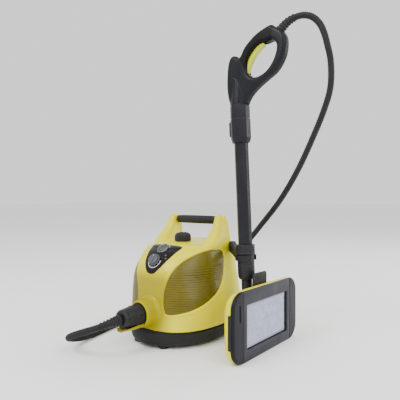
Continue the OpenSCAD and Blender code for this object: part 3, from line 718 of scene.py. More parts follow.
def make_shell():
    rings = [ring_at(oval(a, b, PLAN, 200), z, (0, y)) for z, a, b, y in SHELL_ROWS]
    rings += [ring_at(oval(a, b, n, 200), SHELL_TOP, (0, 46)) for a, b, n in ((25, 28, PLAN), (2, 2, 2))]
    shell = loft("upper_shell_skin", machine, rings)
    posts = []
    for side in (-1, 1):
        rows = np.array([ring_at(oval((x1 - x0) / 2, (y1 - y0) / 2, 3.2, 64), z,
                                 (side * (x0 + x1) / 2, (y0 + y1) / 2))
                         for z, x0, x1, y0, y1 in catmull(POST, 4)])
        posts.append(loft("post", machine, rows))
    join(shell, *posts)
    melt(shell, voxel=1.8, rounds=14)
    p = points_in(machine, read_points(shell))
    normals = shell_normal(p)
    leaf = catmull(LEAF, 4, closed=True)
    for side in (1, -1):
        turned = p * (side, 1, 1)
        flat = np.column_stack([turned @ LEAF_ALONG, p[:, 2]])
        sink_into(shell, flat, leaf, LEAF_SINK, normals, turned @ LEAF_OUT > LEAF_START)
    flat = np.column_stack([p[:, 0], (p - SLOPE_FOOT) @ SLOPE_UP])
    outside = (p - SLOPE_FOOT) @ SLOPE_OUT > SHIELD_START
    sink_into(shell, flat, shield_outline(), SHIELD_SINK, normals, outside)
    wide = catmull(LEAF, 6, closed=True)
    bands = [rim("rim_right", wide, leaf_surface, RIM), rim("rim_left", wide, mirrored_leaf, RIM),
             rim("rim_front", shield_outline(), shield_surface, SLIM_RIM)]
    for piece in (shell, *bands):
        finish_piece(piece, "canister", YELLOW, sharp=60)


def eased_steps(count, ease):
    """Steps from 0 to 1, which this share of a cosine crowds towards both ends."""
    even = np.linspace(0, 1, count)
    return ease * (1 - np.cos(math.pi * even)) / 2 + (1 - ease) * even


def strip_between(outline, rows, columns):
    """Grid that fills an outline whose every level is one interval, in the outline's own coordinates."""
    low, high = outline[:, 1].min(), outline[:, 1].max()
    coarse = eased_steps(41, 0.3)
    levels = low + (high - low) * np.interp(np.linspace(0, 1, rows), np.linspace(0, 1, len(coarse)), coarse)
    levels = np.clip(levels, low + 0.02, high - 0.02)
    a, b = outline, np.roll(outline, -1, axis=0)
    across = eased_steps(columns, 0.5)
    grid = []
    for level in levels:
        hits = (a[:, 1] > level) != (b[:, 1] > level)
        x = a[hits, 0] + (level - a[hits, 1]) / (b[hits, 1] - a[hits, 1]) * (b[hits, 0] - a[hits, 0])
        grid.append(np.column_stack([x.min() + across * (x.max() - x.min()), np.full(columns, level)]))
    return np.array(grid)


def patch(name, outline, surface, rows, columns, height):
    """Panel that covers an outline on the shell. height gives its level above the shell at each point."""
    grid = strip_between(outline, rows, columns)
    flat = grid.reshape(-1, 2)
    p, n = surface(flat)
    inner = inside_by(flat, outline)
    skin = p + n * height(flat, inner)[:, None]
    return loft(name, machine, list(skin.reshape(rows, columns, 3)), closed=False, caps=False)


RIB_PITCH = 5.9


def ribbed(flat, inner):
    """Louvred slats across the side panel, which die out towards its top and its edge."""
    phase = (flat[:, 1] - 92) / RIB_PITCH
    up = phase - np.floor(phase)
    slat = smooth_step(up, 0, 0.2) * (1 - 0.85 * up)
    strength = smooth_step(inner, 3, 8) * (1 - smooth_step(flat[:, 1] - 0.12 * flat[:, 0], 188, 208))
    strength *= smooth_step(flat[:, 1], 90, 96)
    edge = -2.2 * (1 - smooth_step(inner, 0, 2.2))
    return edge - 0.9 + 1.9 * slat * strength - 1.1 * strength


def pillowed(flat, inner):
    return 0.5 - 2.0 * (1 - smooth_step(inner, 0, 1.6))


def make_side_panels():
    outline = catmull(LEAF, 6, closed=True)
    for name, surface in (("side_panel_right_skin", leaf_surface), ("side_panel_left_skin", mirrored_leaf)):
        finish_piece(patch(name, outline, surface, 420, 60, ribbed), "canister", OLIVE, sharp=70)


def arc_print(name, centre, radius, width, start, end, lift=0.75):
    """Printed arc on the control panel, round a point given in the panel's coordinates."""
    turns = np.radians(np.linspace(start, end, 60))
    arc = np.stack([np.cos(turns), np.sin(turns)], 1)
    rows = []
    for r in (radius, radius + width):
        p, n = shield_surface(centre + arc * r)
        rows.append(p + n * lift)
    return loft(name, machine, rows, closed=False, caps=False)


def panel_point(place):
    """Where a millimetre frame's origin lies on the control panel: x, and distance up the slope."""
    p = np.array(machine.inverted() @ place.translation)
    return np.array([p[0], (p - SLOPE_FOOT) @ SLOPE_UP])


def make_control_panel():
    panel = patch("control_panel_skin", shield_outline(), shield_surface, 110, 70, pillowed)
    finish_piece(panel, "canister", GLOSS, sharp=70)
    at_knob = panel_point(knob)
    knob_scale = arc_print("knob_scale", at_knob, 20.2, 1.5, 175, 365)
    join(knob_scale, *(arc_print("tick", at_knob, 17.6, 1.6, a - 2, a + 2) for a in range(180, 361, 30)))
    finish_piece(knob_scale, "canister", WHITE)
    gauge_scale = arc_print("gauge_scale", panel_point(gauge), 18.6, 0.7, 20, 160)
    finish_piece(gauge_scale, "canister", WHITE)


def fluted(count, depth, reach):
    """Wave with this many finger grooves, on radii above reach."""
    def wave(r, h, angle):
        groove = np.abs(np.cos(count * angle / 2)) ** 0.6
        return r - (depth * (1 - groove) if r > reach else 0) + 0 * angle
    return wave


def make_knob():
    profile = fillet([(0, -8), (3, -8), (3, 2.4), (17, 2.4), (17, 4.2), (15.6, 5), (14.8, 11.2), (12.2, 12.4),
                      (11.6, 11.9), (0.01, 11.9)], 0.5)
    disc = lathe("steam_knob_skin", knob, profile, 144, fluted(24, 0.8, 13))
    bar = box("bar", knob, (-2.1, -11.5, 11), (2.1, 11.5, 13.5), 0.9)
    join(disc, bar)
    finish_piece(disc, "knob", KNOB_GREY, sharp=40)
    mark = box("knob_mark", knob, (-0.5, 7.4, 13.3), (0.5, 11, 13.62), 0.12)
    finish_piece(mark, "knob", WHITE)


def spokes(name, place, angles, low, high, edge):
    """One piece of equal boxes, each turned round z by one of these angles in degrees."""
    bars = []
    for angle in angles:
        turned = place @ Matrix.Rotation(math.radians(angle), 4, "Z")
        bars.append(box(name, turned, low, high, edge))
    return join(*bars)


def make_gauge():
    profile = fillet([(14.4, 1.6), (14.4, 3.2), (15.2, 4), (16.4, 4), (17, 3.3), (17, -9), (14.4, -9),
                      (14.4, 1.6)], 0.5)
    bezel = lathe("pressure_gauge_skin", gauge, profile, 96)
    face = lathe("gauge_face", gauge, [(0.01, -3.4), (14.3, -3.4), (14.3, -3), (0.01, -3)], 96)
    stem = lathe("stem", gauge, [(0.01, -14), (5, -14), (5, -9), (1.4, -8.9), (1.4, -1.6), (0.01, -1.6)], 32)
    join(bezel, stem)
    marks = spokes("gauge_marks", gauge, range(-30, 211, 30), (10.6, -0.3, -3.1), (13.4, 0.3, -2.85), 0.1)
    finish_piece(bezel, "canister", METAL, sharp=30)
    finish_piece(face, "canister", FACE)
    finish_piece(marks, "canister", WHITE)


def make_base():
    rows = [(6, 114, 153, 0, 2.1), (9, 122, 161, 0, 2.1), (16, 126, 165, 1, 2.15), (30, 128, 166, 3, 2.3),
            (41, 129.6, 165.4, 5.4, 2.5)]
    smooth = catmull(rows, 6)
    z, a, b, y, n = smooth[-1]
    lip = [(0.2, 0.6), (0.6, 2.2), (3.4, 2.4), (3.8, 4.2)]
    rows = [(6, 108, 147, 0, 2.1), *smooth, *((z + up, a - inset, b - inset, y, n) for up, inset in lip)]
    rings = [ring_at(oval(a, b, n, 160), z, (0, y)) for z, a, b, y, n in rows]
    finish_piece(loft("base_tray_skin", machine, rings), "canister", BASE, sharp=50)


GRIP_HALF = 71


def make_grip():
    half = GRIP_HALF
    profile = [(0.01, -half), (10.6, -half), (11.2, -half + 0.7), (11.3, -half + 5), (10.8, -half + 5.6),
               (10.8, -half + 7), (11.4, -half + 7.6)]
    for z in np.linspace(-half + 9, half - 9, 40):
        profile.append((11.4 + 0.85 * math.cos(z / half * math.pi / 2) ** 0.5, z))
    profile += [(r, -z) for r, z in profile[6::-1]]
    bar = lathe("carry_grip_skin", grip, profile, 96)
    bands = []
    for side in (-1, 1):
        for k in range(6):
            turned = grip @ Matrix.Translation((0, 0, side * (30 + 4.2 * k)))
            low, high = 12.1 - 0.03 * k, 12.25 - 0.05 * k
            section = [(11, -1.1), (low, -1), (high, 0), (low, 1), (11, 1.1), (11, -1.1)]
            bands.append(lathe("band", turned, section, 64))
    join(bar, *bands)
    finish_piece(bar, "canister", RUBBER, sharp=50)


def make_cap():
    profile = fillet([(0.01, 263), (22.4, 263), (23.5, 264.2), (23.5, 276), (22.2, 281), (18, 285.2),
                      (10, 287.5), (0.01, 288)], 1.6, 4)
    top = lathe("boiler_cap_skin", cap, profile, 216, fluted(18, 1.7, 17.5))
    finish_piece(top, "cap", DARK, sharp=50)
    dome = lathe("cap_disc", cap, [(9.4, 287), (9.4, 287.7), (8.8, 287.95), (0.01, 288)], 64)
    finish_piece(dome, "cap", GLOSS)


# -------- steam connection and hose

# Where the collar, the lip under the plug and the plug start, and where the release button is, in y
NOSE_FOOT = -118
LIP_FOOT = -150
LIP_LENGTH = 94
PLUG_FOOT = -122
BUTTON_Y = -193


def make_nose():
    profile = fillet([(27.7, 4), (44, 24), (39.4, 28), (36.8, 32), (35.7, 38), (35, 56), (34.2, 60.4),
                      (32.2, 62.8), (30.2, 63), (28.8, 62), (28, 59.6), (27.7, 56), (27.7, 4)], 1.4)
    collar = lathe("socket_nose_skin", front_axis(NOSE_FOOT), profile, 128)
    rows = []
    for h in np.linspace(0, LIP_LENGTH, 48):
        half = 46 - 16 * smooth_step(h, 45, LIP_LENGTH) - 14 * smooth_step(h, 88, LIP_LENGTH)
        turns = np.linspace(-math.radians(half), math.radians(half), 33) - math.pi / 2
        arc = np.stack([np.cos(turns), np.sin(turns)], 1)
        outside = 33.4 - 2.6 * smooth_step(h, 50, LIP_LENGTH)
        rows.append(ring_at(np.vstack([outside * arc, 28.3 * arc[::-1]]), h))
    join(collar, loft("lip", front_axis(LIP_FOOT), rows))
    finish_piece(collar, "canister", YELLOW, sharp=44, soften=0.5)


def make_plug():
    axis = front_axis(PLUG_FOOT)
    profile = fillet([(0.01, 0), (20, 0), (20, 46), (25.6, 46), (26.9, 48), (26.9, 81.5), (26, 82.6),
                      (25.1, 82.8), (25.1, 84.4), (25.8, 84.8), (25.5, 88), (23.6, 103), (22.9, 104),
                      (22.9, 105.2), (23.4, 106), (22.6, 113.5), (20.4, 117), (15, 118), (14.2, 117),
                      (0.01, 117)], 0.7)
    plug = lathe("hose_plug_skin", axis, profile, 128)
    slot = box("slot", axis, (-4.5, 21.5, 68), (4.5, 30, 77), 1.0)
    pocket = loft("pocket", button_axis(14), [ring_at(rounded(10.5, 6.4, 6.3), z) for z in (0, 30)])
    cut(plug, slot, pocket)
    finish_piece(plug, "canister", DARK, sharp=30)
    grips = spokes("plug_grips", axis, range(100, 263, 18), (-0.9, 24.4, 89), (0.9, 25.6, 100), 0.5)
    finish_piece(grips, "canister", DARK)
    levels = ((0, 0), (0, 8), (0.5, 8.9), (1.6, 9.35), (4, 9.4))
    rows = [ring_at(rounded(10 - e, 6 - e, 5.9 - e), z) for e, z in levels]
    button = loft("plug_button_skin", button_axis(19), rows)
    finish_piece(button, "plug_latch", RUBBER, sharp=40)


# Route of the hose and its two reliefs, from the handle to the plug, in metres
HOSE_ROUTE = [
    (0.2, 0.049, 0.793), (0.209, 0.0515, 0.8055), (0.223, 0.0555, 0.8185), (0.241, 0.0605, 0.827),
    (0.261, 0.066, 0.8285), (0.28, 0.072, 0.821), (0.295, 0.0785, 0.804), (0.3035, 0.085, 0.782),
    (0.308, 0.092, 0.758), (0.312, 0.106, 0.714), (0.305, 0.121, 0.658), (0.284, 0.133, 0.607),
    (0.246, 0.15, 0.541), (0.193, 0.172, 0.46), (0.127, 0.195, 0.378), (0.045, 0.214, 0.294),
    (-0.033, 0.226, 0.213), (-0.1, 0.232, 0.138), (-0.147, 0.233, 0.085), (-0.185, 0.232, 0.047),
    (-0.219, 0.225, 0.021), (-0.25, 0.207, 0.0105), (-0.273, 0.176, 0.009), (-0.287, 0.132, 0.009),
    (-0.294, 0.065, 0.009), (-0.289, -0.005, 0.009), (-0.277, -0.07, 0.009), (-0.265, -0.12, 0.009),
    (-0.252, -0.168, 0.0095), (-0.241, -0.21, 0.013), (-0.233, -0.239, 0.0195), (-0.22, -0.264, 0.029),
    (-0.201, -0.281, 0.039), (-0.177, -0.289, 0.05), (-0.151, -0.288, 0.0605), (-0.126, -0.278, 0.07),
    (-0.107, -0.26, 0.078), (-0.095, -0.236, 0.0845), (-0.09, -0.211, 0.088),
]
HOSE_DIAMETER = 0.017
HANDLE_RELIEF_END = 3
PLUG_RELIEF_START = 36
ROUTE_STEPS = 60
RIB_SPACING = 0.0046
RIB_DEPTH = 0.0016
RELIEF_STEP = 0.0006


def tube(name, path, radii, sides):
    """Tube along a path with a radius at each of its points, its sides carried along without twist."""
    along = unit(np.gradient(path, axis=0))
    side = np.array([0.0, 1, 0])
    turns = np.arange(sides) * 2 * math.pi / sides
    rings = []
    for p, d, r in zip(path, along, radii):
        side = side - side @ d * d
        side /= np.linalg.norm(side)
        other = np.cross(d, side)
        rings.append(p + r * (np.cos(turns)[:, None] * side + np.sin(turns)[:, None] * other))
    return loft(name, Matrix.Identity(4), rings)


def evenly(path, pitch):
    """Points along a path at this spacing, in metres, and their distances along it."""
    run = np.concatenate([[0], np.cumsum(np.linalg.norm(np.diff(path, axis=0), axis=1))])
    at = np.linspace(0, run[-1], int(run[-1] / pitch) + 1)
    return np.stack([np.interp(at, run, path[:, k]) for k in range(3)], 1), at


def ripple(at, pitch):
    """0 at each groove and 1 halfway between."""
    return 0.5 - 0.5 * np.cos(2 * math.pi * at / pitch)


def make_relief(name, body, path, start, end, ridges, dent):
    """Ribbed strain relief between two radii. dent turns the ripple into the depth of the grooves."""
    points, at = evenly(path, RELIEF_STEP)
    taper = np.interp(at, (0, at[-1]), (start, end))
    relief = tube(name, points, taper - dent(ripple(at, at[-1] / ridges)), 32)
    return finish_piece(relief, body, RUBBER, sharp=60)


def make_hose():
    route = catmull(HOSE_ROUTE, ROUTE_STEPS)
    first, last = HANDLE_RELIEF_END * ROUTE_STEPS, PLUG_RELIEF_START * ROUTE_STEPS
    middle_run, at = evenly(route[first + 2:last + 1], RIB_SPACING / 5)
    radii = HOSE_DIAMETER / 2 - RIB_DEPTH * ripple(at, RIB_SPACING) ** 2
    hose = tube("steam_hose_skin", middle_run, radii, 16)
    finish_piece(hose, None, RUBBER, sharp=180)
    end = HOSE_DIAMETER / 2 + 0.001
    relief = make_relief("handle_relief_skin", "wand", route[:first + 1], 0.013, end, 7,
                         lambda ridge: 0.0016 * (1 - ridge) ** 2)
    cuff = make_relief("plug_relief_skin", "canister", route[last:], end, 0.014, 6,
                       lambda ridge: 0.0022 * (1 - smooth_step(ridge, 0.2, 0.75)))
    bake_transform(hose)


# -------- wand

def facets(across, corner, arc=4):
    """Octagon with round corners, flats facing the axes, this wide across them."""
    reach = across / 2 / math.cos(math.pi / 8)
    made = []
    for k in range(8):
        turn = math.radians(22.5 + 45 * k)
        tip = reach - corner / math.cos(math.pi / 8)
        for a in np.linspace(-22.5, 22.5, arc):
            turned = turn + math.radians(a)
            made.append((tip * math.cos(turn) + corner * math.cos(turned),
                         tip * math.sin(turn) + corner * math.sin(turned)))
    return np.array(made)


def faceted_loft(name, place, rows, corner):
    return loft(name, place, [ring_at(facets(2 * half, corner), z) for half, z in rows])


LOCK_HEIGHT = 487


def make_tube():
    bar = faceted_loft("wand_tube_skin", wand, [(16.8, 132), (17.5, 133), (17.5, 469), (16.8, 470)], 2.4)
    finish_piece(bar, "wand", WAND_GREY, sharp=24)
    rows = fillet([(0.01, 447), (20.4, 447), (21.6, 448), (24.2, 457), (25, 459.5), (25, 508), (24.6, 510.6),
                   (23.7, 511.2), (23.7, 513.2), (24.4, 514), (24.4, 544), (23.6, 545), (23.6, 547.8),
                   (0.01, 547.8)], 0.7)
    rows = [(max(r, 0.5), z) for r, z in rows]
    socket = faceted_loft("upper_socket_skin", wand, rows, 0.4)
    cut(socket, box("pocket", wand, (-40, -7.4, LOCK_HEIGHT - 21.2), (-18.4, 7.4, LOCK_HEIGHT + 21.2), 0.5))
    finish_piece(socket, "wand", WAND_GREY, sharp=24)
    rows = []
    for inset, x in ((1.2, -22), (0.2, -24), (0, -30), (0.8, -31), (1.8, -33.2), (3.4, -34)):
        flat = rounded(20.6 - inset, 6.9 - inset, 3.4 - inset, 6) if inset < 3.4 else rounded(17, 3.4, 0.6, 6)
        rows.append(upright_ring(flat[:, ::-1] * (-1, 1) + (0, LOCK_HEIGHT), x))
    button = loft("tube_lock_button_skin", wand, rows)
    grooves = [box("groove", wand, (-35, -8, z), (-33.3, 8, z + 1.2), 0.3) for z in range(478, 497, 3)]
    cut(button, *grooves)
    finish_piece(button, "tube_latch", DARK, sharp=40)


def make_neck():
    def knurl(r, h, angle):
        groove = 0.5 + 0.5 * np.cos(30 * angle)
        depth = 0.7 * smooth_step(r, 24.2, 24.6) * smooth_step(h, 158, 160) * (1 - smooth_step(h, 174, 176))
        return r - depth * (groove > 0.75)
    profile = fillet([(19.3, 154), (23.6, 154), (25, 155.4), (25, 158), (24.7, 158.6), (24.7, 166),
                      (24.7, 175.4), (25, 176), (25, 178.6), (23.8, 180), (19.3, 180), (19.3, 154)], 0.4)
    lock = lathe("lock_ring_skin", wand, profile, 180, knurl)
    finish_piece(lock, "wand", DARK, sharp=40)
    profile = fillet([(11.2, 90.4), (19, 90.4), (21.4, 95), (22.4, 101), (22.4, 126), (21.8, 126.8),
                      (21.8, 128.2), (22.4, 129), (22.4, 153.8), (19.2, 153.8), (19.2, 132), (11.2, 132),
                      (11.2, 90.4)], 0.6)
    neck = lathe("neck_socket_skin", wand, profile, 96)
    finish_piece(neck, "wand", DARK, sharp=40)


# Outline and hole of the loop handle, in the wand's x and z
HANDLE = [
    (-23.5, 534), (-25, 550), (-30, 572), (-32.5, 602), (-30, 636), (-26, 660), (-19, 675), (-9, 681),
    (2, 677), (11, 671), (26, 692), (45, 708), (66, 720), (88, 727), (107, 730), (118, 722), (128, 715),
    (139, 705), (146, 689), (146, 669), (141, 648), (130, 628), (113, 610), (89, 597), (63, 583),
    (41, 567), (28, 550), (24, 534),
]
HANDLE_HOLE = [
    (33, 634), (37, 621), (49, 611), (67, 610), (88, 618), (105, 634), (116, 654), (120, 673), (114, 686),
    (103, 690), (91, 688), (77, 690), (62, 684), (47, 671), (36, 655),
]
TRIGGER = [
    (25, 622), (33, 627), (40, 641), (51, 658), (66, 674), (84, 685), (80, 692), (66, 690), (48, 678),
    (34, 662), (25, 645), (20, 632), (20, 624),
]
TRIGGER_POCKET = [
    (13, 616), (33, 616), (42, 630), (60, 652), (90, 680), (92, 702), (70, 708), (48, 700), (32, 685),
    (20, 666), (14, 645),
]
HANDLE_SEAM = 0.24
HANDLE_FOOT = 548
# Arched seam round the handle's lower cover, in the wand's x and z: its centre, half width and rise
ARCH_CENTRE = np.array([-10.5, 604])
ARCH_HALF = 14
ARCH_RISE = 18
# Frame whose x and y are the wand's x and z, and whose z is the wand's -y
side_on = wand @ Matrix.Rotation(math.pi / 2, 4, "X")


def grown(outline, amount):
    """Closed outline moved outwards by an amount."""
    o = np.asarray(outline, float)
    along = unit(np.roll(o, -1, axis=0) - np.roll(o, 1, axis=0))
    normal = np.column_stack([along[:, 1], -along[:, 0]])
    area = (o[:, 0] * np.roll(o[:, 1], -1) - np.roll(o[:, 0], -1) * o[:, 1]).sum()
    return o + normal * amount * np.sign(area)


def make_handle():
    outer = catmull(HANDLE, 5, closed=True)
    hole = catmull(HANDLE_HOLE, 5, closed=True)
    layers = []
    for half, inset in ((15, 6.5), (13.8, 4), (11.8, 2), (9, 0.7), (5.5, 0.15)):
        outlines = [grown(outer, -inset), grown(hole, inset * 0.9)]
        layers.append(prism("layer", side_on, outlines, -half, half, 1.0))
    rows = [(24, 536), (24, 548), (22.3, 564), (19.4, 584), (16.8, 604), (14.4, 622), (10, 636), (1, 644)]
    barrel = lathe("barrel", wand, [(max(r, 0.4), z) for r, z in catmull(rows, 4)], 72)
    grip_shell = join(*layers, barrel)
    melt(grip_shell, voxel=1.3, rounds=18)
    pocket = prism("pocket", side_on, [TRIGGER_POCKET], -7.6, 7.6, 0.3)
    foot = box("foot", wand, (-80, -60, 500), (80, 60, HANDLE_FOOT), 0.3)
    cut(grip_shell, pocket, foot)
    press_seams(grip_shell)
    split_handle(grip_shell)


def press_seams(obj):
    """Groove along the handle's mid plane, and an arched one round its lower cover."""
    co = read_points(obj)
    p = points_in(wand, co)
    normals = np.array([v.normal for v in obj.data.vertices])
    flat = p[:, [0, 2]]
    turn = np.linspace(0, math.pi, 24)
    arch = ARCH_CENTRE + np.column_stack([-ARCH_HALF * np.cos(turn), ARCH_RISE * np.sin(turn)])
    arch = np.vstack([(arch[0, 0], HANDLE_FOOT), arch, (arch[-1, 0], HANDLE_FOOT)])
    near = np.full(len(p), 99.0)
    for a, b in zip(arch, arch[1:]):
        t = np.clip(((flat - a) @ (b - a)) / ((b - a) @ (b - a)), 0, 1)
        near = np.minimum(near, np.linalg.norm(flat - (a + t[:, None] * (b - a)), axis=1))
    depth = 0.7 * np.exp(-((near / 1.1) ** 2)) * (np.abs(p[:, 1]) > 6)
    depth += 0.9 * np.exp(-((p[:, 1] / 0.8) ** 2)) * (p[:, 2] > HANDLE_FOOT + 1)
    write_points(obj, co - normals * depth[:, None] / 1000)


def split_handle(body):
    """Two moulded halves, cut apart at the mid plane and closed there."""
    centre = wand @ Vector((0, 0, 600))
    across = (wand @ Vector((0, 1, 600)) - centre).normalized()
    for side, turn in (("left", -1), ("right", 1)):
        shape = bmesh.new()
        shape.from_mesh(body.data)
        cut_at = bmesh.ops.bisect_plane(shape, geom=shape.verts[:] + shape.edges[:] + shape.faces[:],
                                        plane_co=centre + across * turn * HANDLE_SEAM / 2000,
                                        plane_no=across * turn, clear_inner=True)
        rim_edges = [e for e in cut_at["geom_cut"] if isinstance(e, bmesh.types.BMEdge)]
        bmesh.ops.triangle_fill(shape, edges=rim_edges, use_beauty=True)
        mesh = bpy.data.meshes.new("handle_" + side)
        shape.to_mesh(mesh)
        shape.free()
        half = link("handle_" + side, mesh)
        finish_piece(half, "wand", HANDLE_GREY, "handle_shell_" + side, sharp=50)
    bpy.data.objects.remove(body)


def make_trigger():
    outline = catmull(TRIGGER, 6, closed=True)
    lever = prism("trigger_skin", side_on, [outline], -6, 6, 1.6)
    for t in np.linspace(0, 1, 7):
        along = side_on @ Matrix.Translation((41 + 32 * t, 643 + 33 * t, 0))
        turned = along @ Matrix.Rotation(math.radians(46), 4, "Z")
        cut(lever, box("groove", turned, (-0.4, -3.2, -7), (0.4, -0.2, 7), 0.15))
    finish_piece(lever, "trigger", LIME, sharp=40)


# -------- mop head

HEAD_HALF = 157
HEAD_RISE = 83
HEAD_WALL = 8
PLATE_FRONT = 60.9
LUG_HALF = 13
LUG_RADIUS = 15
PIN_RADIUS = 4.1
# Sections of the head's back: distance in front of the hinge, half length, half height, roundness
HEAD_BACK = [
    (23, 120, 52, 3.6), (25, 135, 66, 4.4), (28, 145, 74, 5), (35, 153, 79, 6), (43, HEAD_HALF, HEAD_RISE, 7),
    (53, HEAD_HALF, HEAD_RISE, 7),
]
# Frame whose x and y are the head's y and z, and whose z is the head's x
head_face = head @ Matrix(((0, 0, 1, 0), (1, 0, 0, 0), (0, 1, 0, 0), (0, 0, 0, 1)))
# Frame on the hinge's axis, with z along it
hinge = head @ Matrix.Rotation(-math.pi / 2, 4, "X")


def make_head_shell():
    rings = [upright_ring(oval(half, rise, n, 160), x) for x, half, rise, n in catmull(HEAD_BACK, 5)]
    shell = loft("head_shell_skin", head, rings)
    profile = [(0.01, -LUG_HALF), (LUG_RADIUS, -LUG_HALF), (LUG_RADIUS, LUG_HALF), (0.01, LUG_HALF)]
    lug = lathe("lug", hinge, fillet(profile, 1.5), 64)
    bridge = box("bridge", head, (0, -LUG_HALF, -LUG_RADIUS), (30, LUG_HALF, LUG_RADIUS), 1.5)
    saddle = box("saddle", head, (17, -30, -24), (34, 30, 24), 6)
    join(shell, lug, bridge, saddle)
    melt(shell, voxel=1.7, rounds=10)
    bore = loft("bore", hinge, [ring_at(oval(PIN_RADIUS, PIN_RADIUS, 2, 48), z) for z in (-40, 40)])
    notch = box("notch", head, (28, -35, 56), (41, 35, 100), 2)
    half, rise = HEAD_HALF - 29, HEAD_RISE - 27
    hollow = box("hollow", head, (27.5, -half, -rise), (60, half, rise), 3)
    edge = rounded(HEAD_HALF - HEAD_WALL, HEAD_RISE - HEAD_WALL, 31, 12)
    well = prism("well", head_face, [edge], 44, 64, 1)
    cut(shell, bore, notch, hollow, well)
    finish_piece(shell, "head", YELLOW, sharp=50)


# The end clips: how deep their edge and its round reach, their inner edge, and the x and y of the axis
# they swing on with the radius of the round that clears the shell
CLIP_BACK = 53.1
CLIP_ROUND = 6.5
CLIP_INNER = 114.3
CLIP_AXIS = (58.4, 116.7)
CLIP_SWEEP = 5.3
TAB_HEIGHTS = (-44, 36)


def mirrored_box(name, side, low, high, edge):
    """Box in the head's frame, on its left or its right end."""
    y = sorted((side * low[1], side * high[1]))
    return box(name, head, (low[0], y[0], low[2]), (high[0], y[1], high[2]), edge)


def clip_inner_edge(x):
    """The clip's inner edge at this depth: round behind, so that it clears the shell as it swings open."""
    behind = CLIP_SWEEP**2 - (CLIP_AXIS[0] - x) ** 2
    edge = CLIP_AXIS[1] - math.sqrt(max(behind, 0.0))
    return max(edge, CLIP_INNER + max(0.0, x - PLATE_FRONT + 0.5))


def make_end_clip(side, name, body):
    """End of the frame, whose outer edge curves back towards the shell."""
    turns = np.linspace(0, math.pi / 2, 9)
    levels = [(0.6, CLIP_BACK), (0.2, CLIP_BACK + 0.2), (0, CLIP_BACK + 0.6)]
    levels += [(CLIP_ROUND * (1 - math.cos(a)), PLATE_FRONT - CLIP_ROUND * (1 - math.sin(a))) for a in turns]
    rows = []
    for inset, x in levels:
        rise = HEAD_RISE - 0.2 * inset
        end = rounded(HEAD_HALF - inset, rise, 38, 16)
        end = end[end[:, 0] > 60]
        end = end[np.argsort(np.arctan2(end[:, 1], end[:, 0] - 100))]
        inner = clip_inner_edge(x)
        end[:, 0] = np.maximum(end[:, 0], inner + 0.4)
        outline = np.vstack([[(inner, -rise)], end, [(inner, rise)]])
        rows.append(upright_ring(outline * (side, 1), x))
    clip = loft(name + "_skin", head, rows)
    cheek = mirrored_box("cheek", side, (CLIP_BACK + 0.1, 148, TAB_HEIGHTS[0] + 1),
                         (56, 158.6, TAB_HEIGHTS[1] - 1), 0.8)
    if side < 0:
        cut(clip, mirrored_box("slot", side, (56, 127, 14), (70, 131.5, 54), 1.5))
    join(clip, cheek)
    # The left clip wears the darker handle grey as painted shade, for its face that turns away from the light; the
    # right one wears the wand grey.
    finish_piece(clip, body, HANDLE_GREY if side < 0 else WAND_GREY, sharp=40, level=True)
    tab = mirrored_box(name + "_tab", side, (47.4, 157.5, TAB_HEIGHTS[0]), (56, 160.4, TAB_HEIGHTS[1]), 1.2)
    for z in range(-16, 12, 4):
        cut(tab, mirrored_box("notch", side, (46, 159.6, z), (57, 162, z + 1.4), 0.3))
    finish_piece(tab, body, BASE, sharp=40)


def make_head_plate():
    window = rounded(99, 53.5, 3, 6) + (0, -3.5)
    outer = rounded(113.4, HEAD_RISE - 0.1, 1.2, 4)
    plate = prism("head_plate_skin", head_face, [outer, window], CLIP_BACK, PLATE_FRONT, 1.3)
    finish_piece(plate, "head", PLATE, sharp=40)
    make_end_clip(-1, "end_clip_left", "clip_left")
    make_end_clip(1, "end_clip_right", "clip_right")


def make_pedal():
    place = head_face @ Matrix.Translation((0, 84, 33))
    flap = prism("release_pedal_skin", place, [rounded(33, 28, 9, 8)], 0, 4, 1.3)
    pin = frame_at(head @ Vector((35, 0, 66)), (0, 1, 0), (1, 0, 0))
    sleeve = fillet([(2.2, -33), (3.8, -33), (3.8, 33), (2.2, 33), (2.2, -33)], 0.5)
    barrel = lathe("barrel", pin, sleeve, 40)
    bars = [box("bar", head, (36.8, -24, z), (37.5, 24, z + 1.6), 0.3) for z in range(88, 108, 4)]
    join(flap, barrel, *bars)
    finish_piece(flap, "pedal", BASE, sharp=40)


# The cloth pad: points along each side, thickness at its border and what its front adds to that, in metres
CLOTH_GRID = 110
CLOTH_BORDER = 0.0058
CLOTH_CROWN = 0.0018
# Seams and side stitching, as shares of the pad's half height and half length, with their depths
SEAMS = (-0.62, 0.02, 0.66)
SEAM_DEPTH = 0.0021
STITCHES = (-0.94, 0.94)
STITCH_DEPTH = 0.0007
MOST_INFLATED = 0.0016


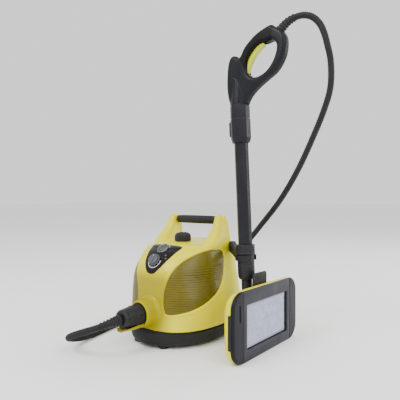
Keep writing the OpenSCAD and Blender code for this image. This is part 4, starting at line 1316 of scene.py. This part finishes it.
def make_cloth():
    """Microfibre pad, blown up a little inside its frame and quilted by three seams."""
    low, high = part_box("cloth_pad")
    half_y, half_z = (high.y - low.y) / 2 + 0.0002, (high.z - low.z) / 2 + 0.0002
    mid_y, mid_z = (high.y + low.y) / 2, (high.z + low.z) / 2
    n = CLOTH_GRID
    y, z = np.meshgrid(np.linspace(-1, 1, n), np.linspace(-1, 1, n), indexing="ij")
    edge = np.minimum(1 - np.abs(y), (1 - np.abs(z)) * half_z / half_y)
    front = low.x + CLOTH_BORDER + CLOTH_CROWN * smooth_step(edge, 0, 0.05)
    back = np.full_like(front, low.x)
    points, faces = [], []
    for level in (front, back):
        points += list(zip(level.ravel(), (mid_y + y * half_y).ravel(), (mid_z + z * half_z).ravel()))
    count = n * n
    for i in range(n - 1):
        for j in range(n - 1):
            a = i * n + j
            faces.append((a, a + n, a + n + 1, a + 1))
            faces.append((count + a + 1, count + a + n + 1, count + a + n, count + a))
    border = [i * n for i in range(n)] + [(n - 1) * n + j for j in range(1, n)]
    border += [i * n + n - 1 for i in range(n - 2, -1, -1)] + list(range(n - 2, 0, -1))
    for a, b in zip(border, border[1:] + border[:1]):
        faces.append((b, a, count + a, count + b))
    pad = add("cloth_pad_skin", Matrix.Identity(4), points, faces)
    inflate(pad, low.x)
    co = read_points(pad)
    height = (co[:, 2] - mid_z) / half_z
    side = (co[:, 1] - mid_y) / half_y
    shown = smooth_step(co[:, 0], low.x + 0.003, low.x + 0.005)
    for seam in SEAMS:
        drift = 0.012 * np.sin(5 * side + 3 * seam)
        co[:, 0] -= SEAM_DEPTH * shown * np.exp(-(((height - seam - drift) / 0.022) ** 2))
    for stitch in STITCHES:
        co[:, 0] -= STITCH_DEPTH * shown * np.exp(-(((side - stitch) / 0.012) ** 2))
    co[:, 0] += 0.00025 * shown * (np.sin(31 * side + 7 * height) * np.sin(23 * height - 5 * side))
    co[:, 0] = np.minimum(co[:, 0], high.x - 0.0001)
    write_points(pad, co)
    finish_piece(pad, "head", CLOTH, sharp=180)


def inflate(pad, back):
    """Cloth simulation under slight pressure, with the pad's back and edges held."""
    start = read_points(pad)
    held = pad.vertex_groups.new(name="held")
    held.add([int(i) for i in np.where(start[:, 0] < back + 0.0045)[0]], 1.0, "REPLACE")
    cloth = pad.modifiers.new("cloth", "CLOTH")
    settings = cloth.settings
    settings.quality = 6
    settings.vertex_group_mass = "held"
    settings.use_pressure = True
    settings.uniform_pressure_force = 4
    settings.effector_weights.gravity = 0
    settings.tension_stiffness = 12
    settings.bending_stiffness = 0.4
    scene = bpy.context.scene
    for step in range(1, 21):
        scene.frame_set(step)
    apply_modifiers(pad)
    scene.frame_set(1)
    shift = read_points(pad) - start
    far = np.linalg.norm(shift, axis=1)
    write_points(pad, start + unit(shift) * np.minimum(far, MOST_INFLATED)[:, None])


# -------- everything

make_camera()
make_stage()
make_plug()
make_hose()
make_shell()
make_side_panels()
make_control_panel()
make_knob()
make_gauge()
make_base()
make_grip()
make_cap()
make_nose()
make_tube()
make_neck()
make_handle()
make_trigger()
make_head_shell()
make_head_plate()
make_pedal()
make_cloth()
finish_nodes()
